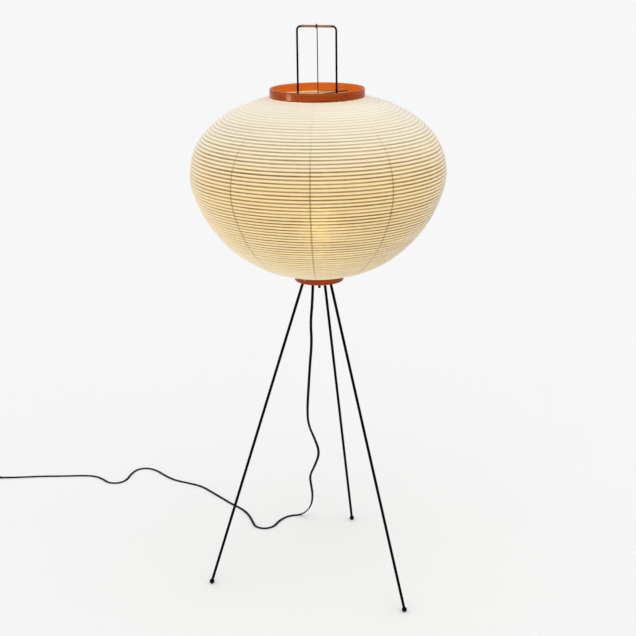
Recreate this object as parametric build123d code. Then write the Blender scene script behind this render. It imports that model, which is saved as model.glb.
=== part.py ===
from build123d import *
import os
from math import asin, cos, hypot, pi, radians, sin, tan

# Paper lantern floor lamp, in millimetres. The origin is on the floor under the lamp's axis, +Z is up,
# and the side shown first faces -Y. Every piece below is one solid, or one group of like solids.

# Stand: three straight rods, each screwed into the hub above and into a ball below
foot_circle = 256.0        # from the lamp's axis to the middle of each ball foot
foot_ball = 11.0           # diameter of a ball foot
foot_flat = 3.0            # diameter of the flat that a ball stands on
ball_steps = 7             # straight steps from a ball's flat to its top
ball_sides = 16
leg_rod = 6.0              # diameter of a leg
leg_in_ball = 3.5          # how deep a leg goes into its ball
leg_hub_radius = 32.0      # from the axis to a leg's middle where it passes the hub plate's underside
leg_grip = 13.0            # how far a leg reaches past the hub plate's underside, along itself
tripod_turn = -16.3        # the stand's turn about +Z; at 0 the back leg points along +Y

# Hub: a pressed plate that the legs, the handle frame and the bulb holder fasten to
hub_height = 699.0         # the plate's underside above the floor
hub_edge = 6.0             # the plate reaches this far past each upright's middle
hub_sheet = 3.0
hub_rim = 4.0              # height of the rim pressed down round the plate's edge
hub_rim_wall = 1.5
socket_outer = 11.0
thread_gap = 0.1           # radial gap between a threaded end and its hole
stud_d = 6.0
stud_below = 26.0          # length of stud that shows under the plate
stud_above = 13.0
stud_end = [(0.5, 0.0), (0.87, 0.2), (1.0, 0.6)]   # its rounded end, as shares of its radius
nut_flats = 10.0
nut_height = 5.0
grommet_reach = 13.5       # from the axis to the middle of the cord's grommet
grommet_flange = 12.6
grommet_neck = 9.0
grommet_flange_t = 2.0
grommet_drop = 9.0         # how far the grommet's nose hangs under the plate
grommet_taper = 0.6        # how much narrower its nose ends
grommet_lip = 1.0          # how much narrower its upper flange is

# Rings of bent wood, and the paper shade between them
ring_wall = 4.0
ring_ease = 0.6            # how far the rings' outer edges are eased
low_ring_gap = 1.0         # between the hub plate's edge and the low ring
low_ring_height = 15.0
low_ring_drop = 6.0        # the low ring's lower edge lies this far under the hub plate's underside
top_ring_radius = 97.0
top_ring_height = 17.0
shade_radius = 265.0
shade_height = 370.0
shade_belly = 0.559        # height of the widest place, as a share of the shade's height
rib_count = 72             # turns of the bamboo rib that show as ridges
rib_wall = 1.0             # paper and rib together, at a ridge
lining_steps = 18          # straight steps of the shade's inner face
outline_steps = 400        # fine steps in each half of the shade's outline, before it is cut
gore_count = 10            # strips of paper round the shade
flats_per_gore = 3
paper_gap = 0.3            # between the shade's edges and the rings they are glued to
lower_full, lower_flat = 1.48, 2.466   # powers that shape the outline under the belly
upper_full, upper_flat = 2.43, 1.918   # and above it

# Bridges across the two rings, and the wire that holds the shade stretched
bridge_width = 12.0
bridge_sheet = 1.5
bridge_tab = 6.0           # height of the tabs turned up against the low ring
bridge_turn = 30.0         # from the back leg round to the low bridge
screw_head, screw_head_t = 4.4, 1.2
screw_shank, screw_reach = 2.2, 3.0
thin_wire = 2.0
top_bridge_up = 3.0        # the top bridge's middle above the top ring's lower edge
top_bridge_angle = 47.7    # its direction from +X
bridge_end_depth = 2.6     # how deep its ends go into the ring's wall
hook_gap = 0.3             # between the hanger wire's hooks and what they hold
hook_bend = 0.97           # a bend's radius, as a share of half its hook's width

# Handle frame: one wire bent into an upright U, bound with cane where the hand holds it
handle_wire = 4.0
handle_half = 41.0         # from the axis to each upright's middle
handle_corner = 8.0
handle_rise = 122.0        # crossbar's middle above the top ring's upper edge
handle_thread = 7.0        # threaded length under the hub plate
handle_nut_flats = 7.0
handle_nut_height = 3.2
cane_length = 64.0
cane_t = 0.6
cane_tie = 2.4             # width of the cane's two end ties
cane_tie_t = 0.7

# Bulb holder and bulb
cap_foot = 8.0
cap_foot_height = 2.5
holder_radius = 18.5
holder_wall = 2.5
cap_height = 18.5
cap_shoulder = 11.0        # from the cap's foot up to its full width
body_height = 34.0
lip_inner = 14.6
lip_height = 2.0
lip_bevel = 1.0
core_height = 8.0
shell_radius = 13.9
shell_sheet = 0.5
shell_height = 21.0
bulb_thread = 13.1         # radius of the bulb's screw cap
bulb_thread_height = 19.0
bulb_cone = 3.5
bulb_globe = 30.0          # radius of the bulb's glass
bulb_neck = 47.0           # from the screw cap's upper edge to the globe's middle
glass_steps = 6
bulb_wall = 1.0
bulb_neck_turn = 50.0      # how far under the globe's middle it passes into the neck, in degrees
bulb_seat = 0.4
button_radius, button_height = 4.0, 1.2
tongue_length, tongue_width, tongue_t = 11.0, 4.0, 0.5
tongue_back = 1.5          # the strip's middle lies this far off the axis
tongue_dimple, tongue_height = 1.5, 1.6

# Flat twin cord: its tube here is as thick as the cord is wide
cord_d = 6.0
cord_sides = 4
wire_sides = 6
corner_share = 0.45        # how much of the shorter run beside it a corner's arc takes at each end
coil_radius = 36.0         # the outer half turn, at the cord's middle
coil_pitch = 6.5           # from one turn to the next, sideways and upwards
coil_lead = 40.0           # straight cord between the switch and the coil
coil_tail = 30.0           # straight cord between the coil and the plug

# Switch on the cord, and the plug
switch_length, switch_width, switch_height = 58.0, 20.0, 15.0
switch_start = (-892.0, 500.0)     # where the cord meets the switch's first end
switch_split = 6.5                 # height of the joint between its two halves
switch_shell = 1.8
switch_corner = 3.0
switch_bevel = 1.5
screw_post = 2.8                   # radius of the posts that the two screws go into
screw_from_end, screw_from_side = 6.0, 4.2
screw_above = 5.0                  # how far a screw reaches past the joint
screw_recess = 0.4
rocker_length, rocker_width, rocker_depth = 16.0, 8.0, 5.0
rocker_proud = 0.9                 # the key's middle above its pin
rocker_hollow = 20.0               # radius of the hollow along its top
rocker_dip = 0.8                   # depth of that hollow
rocker_gap = 0.5
rocker_pin = 1.6
pin_gap = 0.06                     # radial gap round the pin
rocker_pin_drop = 1.7              # the pin's middle under the cover's ceiling
rocker_tilt = 7.0                  # tipped to ON; as far the other way is OFF
ear_length, ear_t = 5.0, 1.4       # the two lugs that carry the pin
ear_gap = 0.6                      # between the key's side and a lug
contact_length, contact_width, contact_t = 8.0, 5.0, 0.6
contact_place, contact_post = 10.0, 4.0
plug_radius = 9.5
plug_length = 26.0
plug_nose, plug_nose_tip, plug_nose_end = 12.0, 4.6, 6.0
plug_shoulder = 6.0
plug_bevel = 1.0
blade_w, blade_t, blade_length = 6.3, 1.5, 17.5
blade_apart = 12.7
blade_hole, blade_hole_from_end = 3.0, 3.6

os.makedirs("parts", exist_ok=True)

# Heights and places that follow from the sizes above
foot_height = ((foot_ball / 2) ** 2 - (foot_flat / 2) ** 2) ** 0.5
hub_top = hub_height + hub_sheet
hub_radius = handle_half + hub_edge
low_ring_radius = hub_radius + low_ring_gap + ring_wall
low_ring_low = hub_height - low_ring_drop
shade_low = low_ring_low + low_ring_height
shade_top = shade_low + shade_height
top_ring_top = shade_top + top_ring_height
crossbar_height = top_ring_top + handle_rise
back_angle = 90.0 + tripod_turn
handle_angle = tripod_turn
cap_low = hub_top + bridge_sheet
body_low = cap_low + cap_height
core_top = body_low + core_height
grommet_tip = hub_height - grommet_drop

# The cord's way from the grommet to the switch, as points chosen along it
cord_route = [
    (-grommet_reach, 0.0, grommet_tip), (-grommet_reach, 0.0, 646.0),
    (-17.0, 5.0, 594.0), (-14.5, 14.0, 546.0),
    (-19.0, 28.0, 490.0), (-22.5, 45.0, 430.0), (-26.5, 64.0, 372.0), (-26.0, 83.0, 322.0),
    (-11.0, 104.0, 276.0), (0.5, 124.0, 236.0), (-8.0, 143.0, 198.0), (-22.0, 161.0, 162.0),
    (-19.5, 184.0, 122.0), (-15.0, 207.0, 84.0), (-19.0, 230.0, 46.0), (-31.0, 247.0, 19.0),
    (-53.0, 260.0, 3.0), (-81.0, 256.0, 3.0), (-102.0, 234.0, 3.0), (-114.0, 199.5, 3.0),
    (-136.5, 188.0, 3.0), (-160.0, 198.0, 3.0), (-169.0, 227.0, 3.0), (-178.0, 264.0, 3.0),
    (-196.0, 300.0, 3.0), (-232.0, 327.0, 3.0), (-264.0, 362.0, 3.0), (-290.0, 410.0, 3.0),
    (-321.0, 446.0, 3.0), (-362.0, 455.0, 3.0), (-399.0, 476.0, 3.0), (-428.0, 517.0, 3.0),
    (-456.0, 549.0, 3.0), (-483.0, 557.0, 3.0), (-505.0, 542.0, 3.0), (-515.0, 510.0, 3.0),
    (-522.0, 469.5, 3.0), (-539.0, 453.5, 3.0), (-564.0, 455.0, 3.0), (-583.0, 479.0, 3.0),
    (-609.0, 499.0, 3.0), (-648.0, 503.0, 3.0), (-704.0, 499.0, 3.0), (-760.0, 502.0, 3.0),
    (-812.0, 498.0, 3.0), (-856.0, 500.0, 3.0), (*switch_start, 3.0),
]


def write(name, *solids):
    """Writes one piece, or one group of like pieces, to its own file."""
    shape = solids[0] if len(solids) == 1 else Compound(children=list(solids))
    shape.label = name
    export_step(shape, f"parts/{name}.step")


def around(radius, angle, height=0.0):
    """A point at a distance and direction from the lamp's axis."""
    return Vector(radius * cos(radians(angle)), radius * sin(radians(angle)), height)


def flats(radius):
    """How many flats a small round piece is cut into; more on a larger one. It keeps the model light."""
    return 12 if radius < 8 else 24 if radius < 40 else 48


def clear_of(radius):
    """The corner radius of a hole's flats, so that a round bar of this radius goes through."""
    return radius / cos(pi / flats(radius))


def rod(start, end, diameter):
    """A round rod between two points."""
    way = Vector(*end) - Vector(*start)
    return extrude(Plane(origin=start, z_dir=way) * Circle(diameter / 2), way.length)


def bar(start, end, corner_radius, sides):
    """A bar of flats between two points."""
    way = Vector(*end) - Vector(*start)
    return extrude(Plane(origin=start, z_dir=way) * RegularPolygon(corner_radius, sides), way.length)


def bore(start, end, diameter):
    """What a drilled hole between two points takes away."""
    return bar(start, end, clear_of(diameter / 2), flats(diameter / 2))


def disc(radius, low, high, x=0.0, y=0.0):
    """An upright round piece, its flats inside its radius."""
    return Pos(x, y, low) * extrude(RegularPolygon(radius, flats(radius)), high - low)


def hole(radius, low, high, x=0.0, y=0.0):
    """What an upright round hole takes away, its flats outside its radius."""
    return Pos(x, y, low) * extrude(RegularPolygon(clear_of(radius), flats(radius)), high - low)


def tube(outer, inner, low, high):
    return disc(outer, low, high) - hole(inner, low, high)


def turned(outline, sides):
    """A solid of flats about the Z axis, from its closed outline as (radius, height) pairs."""
    rings = [[around(r, 360 * i / sides, z) for i in range(sides + 1)] for r, z in outline]
    faces = []
    for (r, z), (r_next, z_next), ring, ring_next in zip(
        outline, outline[1:] + outline[:1], rings, rings[1:] + rings[:1]
    ):
        for i in range(sides):
            corners = [ring[i], ring[i + 1]] if r > 0 else [ring[i]]
            corners += [ring_next[i + 1], ring_next[i]] if r_next > 0 else [ring_next[i]]
            if len(corners) > 2:
                faces.append(Face(Wire.make_polygon(corners)))
    return Solid(Shell(faces))


def bent_wire(points, radii, section):
    """A wire that runs straight between its corners and turns in an arc at each."""
    path = FilletPolyline(*points, radius=radii)
    return sweep(Plane(origin=path @ 0, z_dir=path % 0) * section, path)


# Legs and feet


def leg_angles():
    """The directions of the three legs, by name."""
    return {"back": back_angle, "left": back_angle + 120, "right": back_angle + 240}


def leg_at(angle, height):
    """The middle of a leg at a height."""
    foot = foot_height
    share = (height - foot) / (hub_height - foot)
    return around(foot_circle + (leg_hub_radius - foot_circle) * share, angle, height)


def leg_way(angle):
    """The direction of a leg, from its foot up to the hub."""
    return (leg_at(angle, hub_height) - leg_at(angle, foot_height)).normalized()


def leg_ends(angle):
    """The ends of a leg: inside its ball, and inside its socket."""
    inside_ball = foot_ball / 2 - leg_in_ball
    low = leg_at(angle, foot_height) + leg_way(angle) * inside_ball
    return low, leg_at(angle, hub_height) + leg_way(angle) * leg_grip


def leg(angle):
    return rod(*leg_ends(angle), leg_rod)


def ball_foot(angle):
    """A ball with a small flat under it, drilled for its leg."""
    low, high = leg_ends(angle)
    radius = foot_ball / 2
    lowest = asin(foot_height / radius)
    outline = [(0, -foot_height)]
    for i in range(ball_steps):
        turn = -lowest + (pi / 2 + lowest) * i / ball_steps
        outline.append((radius * cos(turn), radius * sin(turn)))
    ball = Pos(*leg_at(angle, foot_height)) * turned(outline + [(0, radius)], ball_sides)
    return ball - bore(low, high, leg_rod + 2 * thread_gap)


# Hub


def cord_hole():
    return around(grommet_reach, 180)


def handle_places():
    return around(handle_half, handle_angle), around(handle_half, handle_angle + 180)


def hub_plate():
    """A pressed plate with its rim turned down, and a hole for each thing that passes through it."""
    plate = disc(hub_radius, hub_height - hub_rim, hub_top)
    plate -= hole(hub_radius - hub_rim_wall, hub_height - hub_rim, hub_height)
    plate -= hole(stud_d / 2 + thread_gap, hub_height, hub_top)
    place = cord_hole()
    plate -= hole(grommet_neck / 2 + thread_gap, hub_height, hub_top, place.X, place.Y)
    for place in handle_places():
        plate -= hole(handle_wire / 2 + thread_gap, hub_height, hub_top, place.X, place.Y)
    for angle in leg_angles().values():
        low, high = leg_ends(angle)
        plate -= bore(low, high, leg_rod + 2 * thread_gap)
    return plate


def leg_socket(angle):
    """A threaded bush welded on the plate in line with its leg, its foot cut flat to the plate."""
    low, high = leg_ends(angle)
    below = leg_at(angle, hub_height - foot_ball)
    bush = bar(below, high, socket_outer / 2, flats(socket_outer / 2))
    bush -= bore(low, high, leg_rod + 2 * thread_gap)
    reach = 2 * socket_outer
    return bush - Pos(*leg_at(angle, hub_top)) * Box(
        2 * reach, 2 * reach, 2 * reach, align=(Align.CENTER, Align.CENTER, Align.MAX)
    )


def centre_stud():
    """The stud through the plate, its lower end rounded over in two bevels."""
    low, radius = hub_height - stud_below, stud_d / 2
    high = hub_top + stud_above
    rounded = [(r * radius, low + z * radius) for r, z in stud_end]
    return turned([(0, low), *rounded, (radius, high), (0, high)], flats(radius))


def hex_nut(across, height, bore_radius, low, x=0.0, y=0.0):
    nut = extrude(RegularPolygon(across / 2, 6, major_radius=False), height) - hole(bore_radius, 0, height)
    return Pos(x, y, low) * nut


def stud_nut():
    return hex_nut(nut_flats, nut_height, stud_d / 2 + thread_gap, hub_height - nut_height)


def cord_grommet():
    """A soft bush: a flange on each side of the plate, and a tapering nose that the cord leaves."""
    half, neck = grommet_flange / 2, grommet_neck / 2
    upper = half - grommet_lip
    inner = clear_of(cord_d / 2 + thread_gap)
    outline = [
        (inner, grommet_tip), (neck - grommet_taper, grommet_tip), (neck, hub_height - grommet_flange_t),
        (half, hub_height - grommet_flange_t), (half, hub_height), (neck, hub_height), (neck, hub_top),
        (upper, hub_top), (upper, hub_top + grommet_flange_t), (inner, hub_top + grommet_flange_t),
    ]
    return Pos(*cord_hole()) * turned(outline, flats(neck))


def cord_inside():
    """The end of the cord, through the grommet and up into the bulb holder."""
    low = cord_hole() + Vector(0, 0, grommet_tip)
    return bar(low, cord_hole() + Vector(0, 0, body_low - holder_wall), cord_d / 2, cord_sides)


# Handle frame


def handle_frame():
    """One wire: up from the hub, across under the hand, and down again."""
    right, left = handle_places()
    low = Vector(0, 0, hub_height - handle_thread)
    high = Vector(0, 0, crossbar_height)
    points = [left + low, left + high, right + high, right + low]
    return bent_wire(points, [handle_corner] * 2, RegularPolygon(handle_wire / 2, flats(handle_wire)))


def frame_nuts():
    """A nut over and under the plate on each upright."""
    nuts = []
    for place in handle_places():
        for low in (hub_height - handle_nut_height, hub_top):
            bore_radius = handle_wire / 2 + thread_gap
            nuts.append(hex_nut(handle_nut_flats, handle_nut_height, bore_radius, low, place.X, place.Y))
    return nuts


def along_crossbar(shape):
    """Lays a piece that was made about +Z along the crossbar, its middle on the lamp's axis."""
    return Pos(0, 0, crossbar_height) * Rot(0, 0, handle_angle) * Rot(0, 90, 0) * shape


def cane_sleeve(outer, inner, length, place=0.0):
    """A sleeve round the crossbar; its hole's flats clear the round of its inner radius."""
    return along_crossbar(Pos(0, 0, place - length / 2) * tube(outer, inner, 0, length))


def cane_wrap():
    return cane_sleeve(handle_wire / 2 + cane_t, handle_wire / 2, cane_length)


def cane_ties():
    """The turns that lock the cane at its two ends."""
    wrap = handle_wire / 2 + cane_t
    place = cane_length / 2 - 1.5 * cane_tie
    return [cane_sleeve(wrap + cane_tie_t, wrap, cane_tie, side * place) for side in (-1, 1)]


# Rings and bridges


def wooden_ring(radius, low, height):
    """A strip of wood bent round, its two outer edges eased."""
    inner, high = clear_of(radius - ring_wall), low + height
    outline = [
        (inner, low), (radius - ring_ease, low), (radius, low + ring_ease), (radius, high - ring_ease),
        (radius - ring_ease, high), (inner, high),
    ]
    return turned(outline, flats(radius))


def bottom_ring():
    return wooden_ring(low_ring_radius, low_ring_low, low_ring_height) - bridge_screw_holes()


def bridge_reach():
    """From the axis to a tab's outer face: its two edges meet the ring's inner wall."""
    inner = low_ring_radius - ring_wall
    return (inner**2 - (bridge_width / 2) ** 2) ** 0.5 - thread_gap / 2


def bridge_screw_line():
    """For each end of the bridge: the screw's head face, tab face and tip, as points on its middle line."""
    height = hub_top + (bridge_tab + bridge_sheet) / 2
    face = bridge_reach() - bridge_sheet
    for side in (0, 180):
        angle = back_angle + bridge_turn + side
        places = (face - screw_head_t, face, bridge_reach() + screw_reach)
        yield [around(place, angle, height) for place in places]


def bridge_screws():
    """Screws driven outwards through the bridge's tabs into the ring's wall, heads inside."""
    sides = flats(screw_head)
    return [
        bar(back, face, screw_head / 2, sides) + bar(back, tip, screw_shank / 2, sides)
        for back, face, tip in bridge_screw_line()
    ]


def bridge_screw_holes():
    """What the screws' shanks need through the tabs and the ring."""
    holes = Part()
    for back, face, tip in bridge_screw_line():
        holes += bore(back, tip + (tip - face).normalized() * thread_gap, screw_shank + 2 * thread_gap)
    return holes


def ring_bridge():
    """A steel strip over the hub plate, its ends turned up against the low ring."""
    reach = bridge_reach()
    foot = (Align.CENTER, Align.CENTER, Align.MIN)
    strip = Pos(0, 0, hub_top) * Box(2 * reach, bridge_width, bridge_sheet, align=foot)
    for side in (-1, 1):
        tab = Box(bridge_sheet, bridge_width, bridge_tab, align=foot)
        strip += Pos(side * (reach - bridge_sheet / 2), 0, hub_top) * tab
    strip -= hole(stud_d / 2 + thread_gap, hub_top, hub_top + bridge_sheet)
    return Rot(0, 0, back_angle + bridge_turn) * strip - bridge_screw_holes()


def top_bridge_height():
    return shade_top + top_bridge_up


def top_bridge_ends(extra=0.0):
    reach = top_ring_radius - ring_wall + bridge_end_depth + extra
    height = top_bridge_height()
    return around(reach, top_bridge_angle, height), around(reach, top_bridge_angle + 180, height)


def top_bridge():
    return bar(*top_bridge_ends(), thin_wire / 2, wire_sides)


def top_ring():
    """The large ring, drilled inside for the two ends of its bridge."""
    ring = wooden_ring(top_ring_radius, shade_top, top_ring_height)
    return ring - bore(*top_bridge_ends(2 * thread_gap), thin_wire + 2 * thread_gap)


def hanger_wire():
    """The thin wire that holds the shade stretched: over the crossbar, and hooked under the top bridge."""
    low_turn = thin_wire + hook_gap
    high_turn = handle_wire / 2 + cane_t + hook_gap + thin_wire / 2
    low_side = around(low_turn, top_bridge_angle + 90)
    high_side = around(high_turn, handle_angle + 90)
    under = Vector(0, 0, top_bridge_height() - low_turn)
    over = Vector(0, 0, crossbar_height + high_turn)
    points = [
        under + low_side + Vector(0, 0, 2 * low_turn), under + low_side, under - low_side,
        over + high_side, over - high_side, over - high_side - Vector(0, 0, 2 * high_turn),
    ]
    bends = [hook_bend * low_turn] * 2 + [hook_bend * high_turn] * 2
    return bent_wire(points, bends, RegularPolygon(thin_wire / 2, wire_sides))


# Shade


def quarter_outline(height, end_radius, full, flat, steps):
    """Points from the widest place to an end of the shade, as (radius, height from the widest place).

    The curve is a superellipse: full says how far out it stays near the widest place, and flat how
    it comes in. Its height is set so that it passes through the end's radius.
    """
    end_height = (1 - (end_radius / shade_radius) ** flat) ** (1 / full)
    points = []
    for i in range(steps + 1):
        turn = pi / 2 * i / steps
        radius, rise = cos(turn) ** (2 / flat), sin(turn) ** (2 / full)
        if radius * shade_radius < end_radius:
            break
        points.append((radius * shade_radius, rise * height / end_height))
    points.append((end_radius, height))
    return points


def shade_outline():
    """The shade's outline from its lower edge up to its upper edge, in fine steps."""
    belly = shade_low + paper_gap + shade_belly * shade_height
    low = belly - shade_low - paper_gap
    high = shade_top - paper_gap - belly
    under = quarter_outline(low, low_ring_radius, lower_full, lower_flat, outline_steps)
    over = quarter_outline(high, top_ring_radius, upper_full, upper_flat, outline_steps)
    return [(r, belly - z) for r, z in reversed(under)] + [(r, belly + z) for r, z in over[1:]]


def evenly(outline, count):
    """Points that cut an outline into equal lengths."""
    lengths = [0.0]
    for (r, z), (r_next, z_next) in zip(outline, outline[1:]):
        lengths.append(lengths[-1] + hypot(r_next - r, z_next - z))
    points, at = [], 0
    for i in range(count + 1):
        goal = lengths[-1] * i / count
        while at < len(lengths) - 2 and lengths[at + 1] < goal:
            at += 1
        share = (goal - lengths[at]) / (lengths[at + 1] - lengths[at])
        points.append(tuple(a + (b - a) * share for a, b in zip(outline[at], outline[at + 1])))
    return points


def inset(points, depth):
    """The same points moved inwards, square to the outline; the two ends keep their heights."""
    moved = []
    for i, (r, z) in enumerate(points):
        before, after = points[max(i - 1, 0)], points[min(i + 1, len(points) - 1)]
        run, rise = after[0] - before[0], after[1] - before[1]
        length = hypot(run, rise)
        moved.append((r - depth * rise / length, z + depth * run / length))
    moved[0] = (points[0][0] - depth - paper_gap, points[0][1])
    moved[-1] = (points[-1][0] - depth - paper_gap, points[-1][1])
    return moved


def paper_shade():
    """Paper on one long turn of split bamboo: straight between ridges outside, open at both rings."""
    outline = shade_outline()
    outside = evenly(outline, rib_count)
    inside = inset(evenly(outline, lining_steps), rib_wall)
    return turned(outside + inside[::-1], gore_count * flats_per_gore)


# Bulb holder and bulb


def holder_cap():
    """The holder's lower half: a foot on the bridge that the stud screws into, and an open cup."""
    inner = clear_of(holder_radius - holder_wall)
    foot_top = cap_low + cap_foot_height
    shoulder = cap_low + cap_shoulder
    floor = body_low - holder_wall
    outline = [
        (0, cap_low), (cap_foot, cap_low), (cap_foot, foot_top), (holder_radius, shoulder),
        (holder_radius, body_low), (inner, body_low), (inner, floor), (0, floor),
    ]
    cap = turned(outline, flats(holder_radius))
    cap -= hole(stud_d / 2 + thread_gap, cap_low, hub_top + stud_above + thread_gap)
    place = cord_hole()
    return cap - hole(cord_d / 2 + thread_gap, cap_low, floor, place.X, place.Y)


def holder_body():
    """The holder's upper half: a sleeve with a lip turned in at its mouth."""
    low, high = body_low, body_low + body_height
    inner, lip = clear_of(holder_radius - holder_wall), clear_of(lip_inner)
    outline = [
        (inner, low), (holder_radius, low), (holder_radius, high - lip_bevel),
        (holder_radius - lip_bevel, high),
        (lip, high), (lip, high - lip_height), (inner, high - lip_height),
    ]
    return turned(outline, flats(holder_radius))


def holder_core():
    """The porcelain block between the terminals and the screw shell."""
    return disc(holder_radius - holder_wall - thread_gap, body_low, core_top)


def screw_shell():
    return tube(shell_radius, shell_radius - shell_sheet, core_top, core_top + shell_height)


def contact_tongue():
    """The sprung strip under the bulb's button."""
    foot = (Align.CENTER, Align.CENTER, Align.MIN)
    strip = Pos(-tongue_back, 0, core_top) * Box(tongue_length, tongue_width, tongue_t, align=foot)
    return strip + disc(tongue_dimple, core_top + tongue_t, core_top + tongue_height)


def button_low():
    return core_top + tongue_height + hook_gap


def bulb_cap():
    """The bulb's screw cap: its contact button, the cone round it and the threaded sleeve."""
    low = button_low()
    cone = low + button_height
    sleeve = cone + bulb_cone
    high = sleeve + bulb_thread_height
    outline = [
        (0, low), (button_radius, low), (button_radius, cone), (bulb_thread, sleeve),
        (bulb_thread, high), (0, high),
    ]
    return turned(outline, flats(bulb_thread))


def bulb_glass():
    """The bulb's thin glass: its neck, and its globe in short straight steps."""
    low = button_low() + button_height + bulb_cone + bulb_thread_height
    middle = low + bulb_neck
    lowest = radians(-bulb_neck_turn)
    outline = [(bulb_thread - bulb_seat, low)]
    for i in range(glass_steps):
        turn = lowest + (pi / 2 - lowest) * i / glass_steps
        outline.append((bulb_globe * cos(turn), middle + bulb_globe * sin(turn)))
    outline.append((0, middle + bulb_globe))
    shrink = 1 - bulb_wall / bulb_globe
    inside = [(bulb_thread - bulb_seat - bulb_wall, low)]
    inside += [(r * shrink, middle + (z - middle) * shrink) for r, z in outline[1:]]
    return turned(outline + inside[::-1], flats(bulb_globe))


# Cord


def corner_radii(route):
    """The radius at each corner: as large as the two runs beside it allow."""
    radii = []
    for before, at, after in zip(route, route[1:], route[2:]):
        first, second = Vector(*at) - Vector(*before), Vector(*after) - Vector(*at)
        half_turn = radians(first.get_angle(second)) / 2
        radii.append(corner_share * min(first.length, second.length) / tan(half_turn))
    return radii


def cord_section(path):
    """The tube's section, square to the start of its path."""
    return Plane(origin=path @ 0, z_dir=path % 0) * RegularPolygon(cord_d / 2, cord_sides)


def report(name, solid, path):
    """Prints a cord's length, and its volume beside its section times its length."""
    section = cord_section(path).face().area
    volume = section * path.length
    print(f"{name}: length {path.length:.0f} mm, volume {solid.volume:.0f}, by section {volume:.0f}")


def cord_run():
    radii = corner_radii(cord_route)
    print("cord radii:", [round(r) for r in radii], "least", round(min(radii), 1))
    path = FilletPolyline(*[Vector(*p) for p in cord_route], radius=radii)
    solid = sweep(cord_section(path), path)
    report("cord_run", solid, path)
    return solid


def half_turn(start, way, across, climb=0.0):
    """Half a turn of the coil from a point, running along way at first and ending across from it."""
    end = start + Vector(0, across, climb)
    middle = (start + end) * 0.5
    return ThreePointArc(start, middle + Vector(way * (end - start).length / 2, 0, 0), end)


def coil_path():
    """Half a turn on the floor, half a turn that climbs a layer, and half a turn on top.

    The turns lie towards -Y. The climb is a half circle in a slanted plane, so it meets the level
    ones smoothly, and the way out lies over the first crossing.
    """
    first = Vector(switch_start[0] - switch_length, switch_start[1], cord_d / 2)
    at = first - Vector(coil_lead, 0, 0)
    edges = [Line(first, at)]
    radii = [coil_radius, coil_radius - coil_pitch / 2, coil_radius - coil_pitch / 2]
    climbs = [0.0, coil_pitch, 0.0]
    for i, (radius, climb) in enumerate(zip(radii, climbs)):
        side = -1 if i % 2 == 0 else 1
        edge = half_turn(at, side, side * 2 * radius, climb)
        edges.append(edge)
        at = edge @ 1
    edges.append(Line(at, at + Vector(coil_tail, 0, 0)))
    return Wire(edges)


def least_gap(path, step=2.0):
    """The least gap between the tube and itself, on points along its path that lie apart."""
    count = int(path.length / step)
    points = [path.position_at(i / count) for i in range(count + 1)]
    apart = int(2 * pi * coil_radius / 4 / step)
    nearest = min(
        (points[j] - points[i]).length for i in range(len(points)) for j in range(i + apart, len(points))
    )
    return nearest - cord_d


def cord_coil():
    path = coil_path()
    solid = sweep(cord_section(path), path)
    report("cord_coil", solid, path)
    print("coil's least gap to itself:", round(least_gap(path), 2), "mm")
    return solid


# Switch on the cord


def switch_middle(height=0.0):
    return Pos(switch_start[0] - switch_length / 2, switch_start[1], height)


def rounded_block(length, width, low, high):
    """A block with its four upright edges rounded."""
    return extrude(Pos(0, 0, low) * RectangleRounded(length, width, switch_corner), high - low)


def hollow_block(low, high):
    """The room inside the switch, between its side walls."""
    length, width = switch_length - 2 * switch_shell, switch_width - 2 * switch_shell
    return Pos(0, 0, low) * Box(length, width, high - low, align=(Align.CENTER, Align.CENTER, Align.MIN))


def screw_places():
    """The two screws lie by opposite corners."""
    x, y = switch_length / 2 - screw_from_end, switch_width / 2 - screw_from_side
    return [(x, y), (-x, -y)]


def with_posts(half, low, high):
    """Adds a drilled post for each screw."""
    for x, y in screw_places():
        half += disc(screw_post, low, high, x, y)
    for x, y in screw_places():
        half -= hole(screw_shank / 2 + thread_gap, low, high, x, y)
    return half


def switch_base():
    """The lower half: an open tray with a post for each screw."""
    tray = rounded_block(switch_length, switch_width, 0, switch_split)
    tray -= hollow_block(switch_shell, switch_split)
    return switch_middle() * with_posts(tray, 0, switch_split)


def switch_cover():
    """The upper half, its top edges bevelled, with a window for the rocker and lugs for its pin."""
    ceiling = switch_height - switch_shell
    cover = rounded_block(switch_length, switch_width, switch_split, switch_height)
    cover = chamfer(cover.faces().sort_by(Axis.Z)[-1].edges(), switch_bevel)
    cover -= hollow_block(switch_split, ceiling)
    cover = with_posts(cover, switch_split, ceiling)
    window_length, window_width = rocker_length + 2 * rocker_gap, rocker_width + 2 * rocker_gap
    cover -= Pos(0, 0, switch_height) * Box(window_length, window_width, 3 * switch_shell)
    lug_place = rocker_width / 2 + ear_gap + ear_t / 2
    for side in (-1, 1):
        cover += Pos(0, side * lug_place, rocker_axis()) * Box(ear_length, ear_t, ear_length)
    pin_hole = hole(rocker_pin / 2 + pin_gap, -lug_place - ear_t, lug_place + ear_t)
    cover -= Pos(0, 0, rocker_axis()) * Rot(90, 0, 0) * pin_hole
    return switch_middle() * cover


def rocker_axis():
    """Height of the pin that the rocker tips on."""
    return switch_height - switch_shell - rocker_pin_drop


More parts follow.
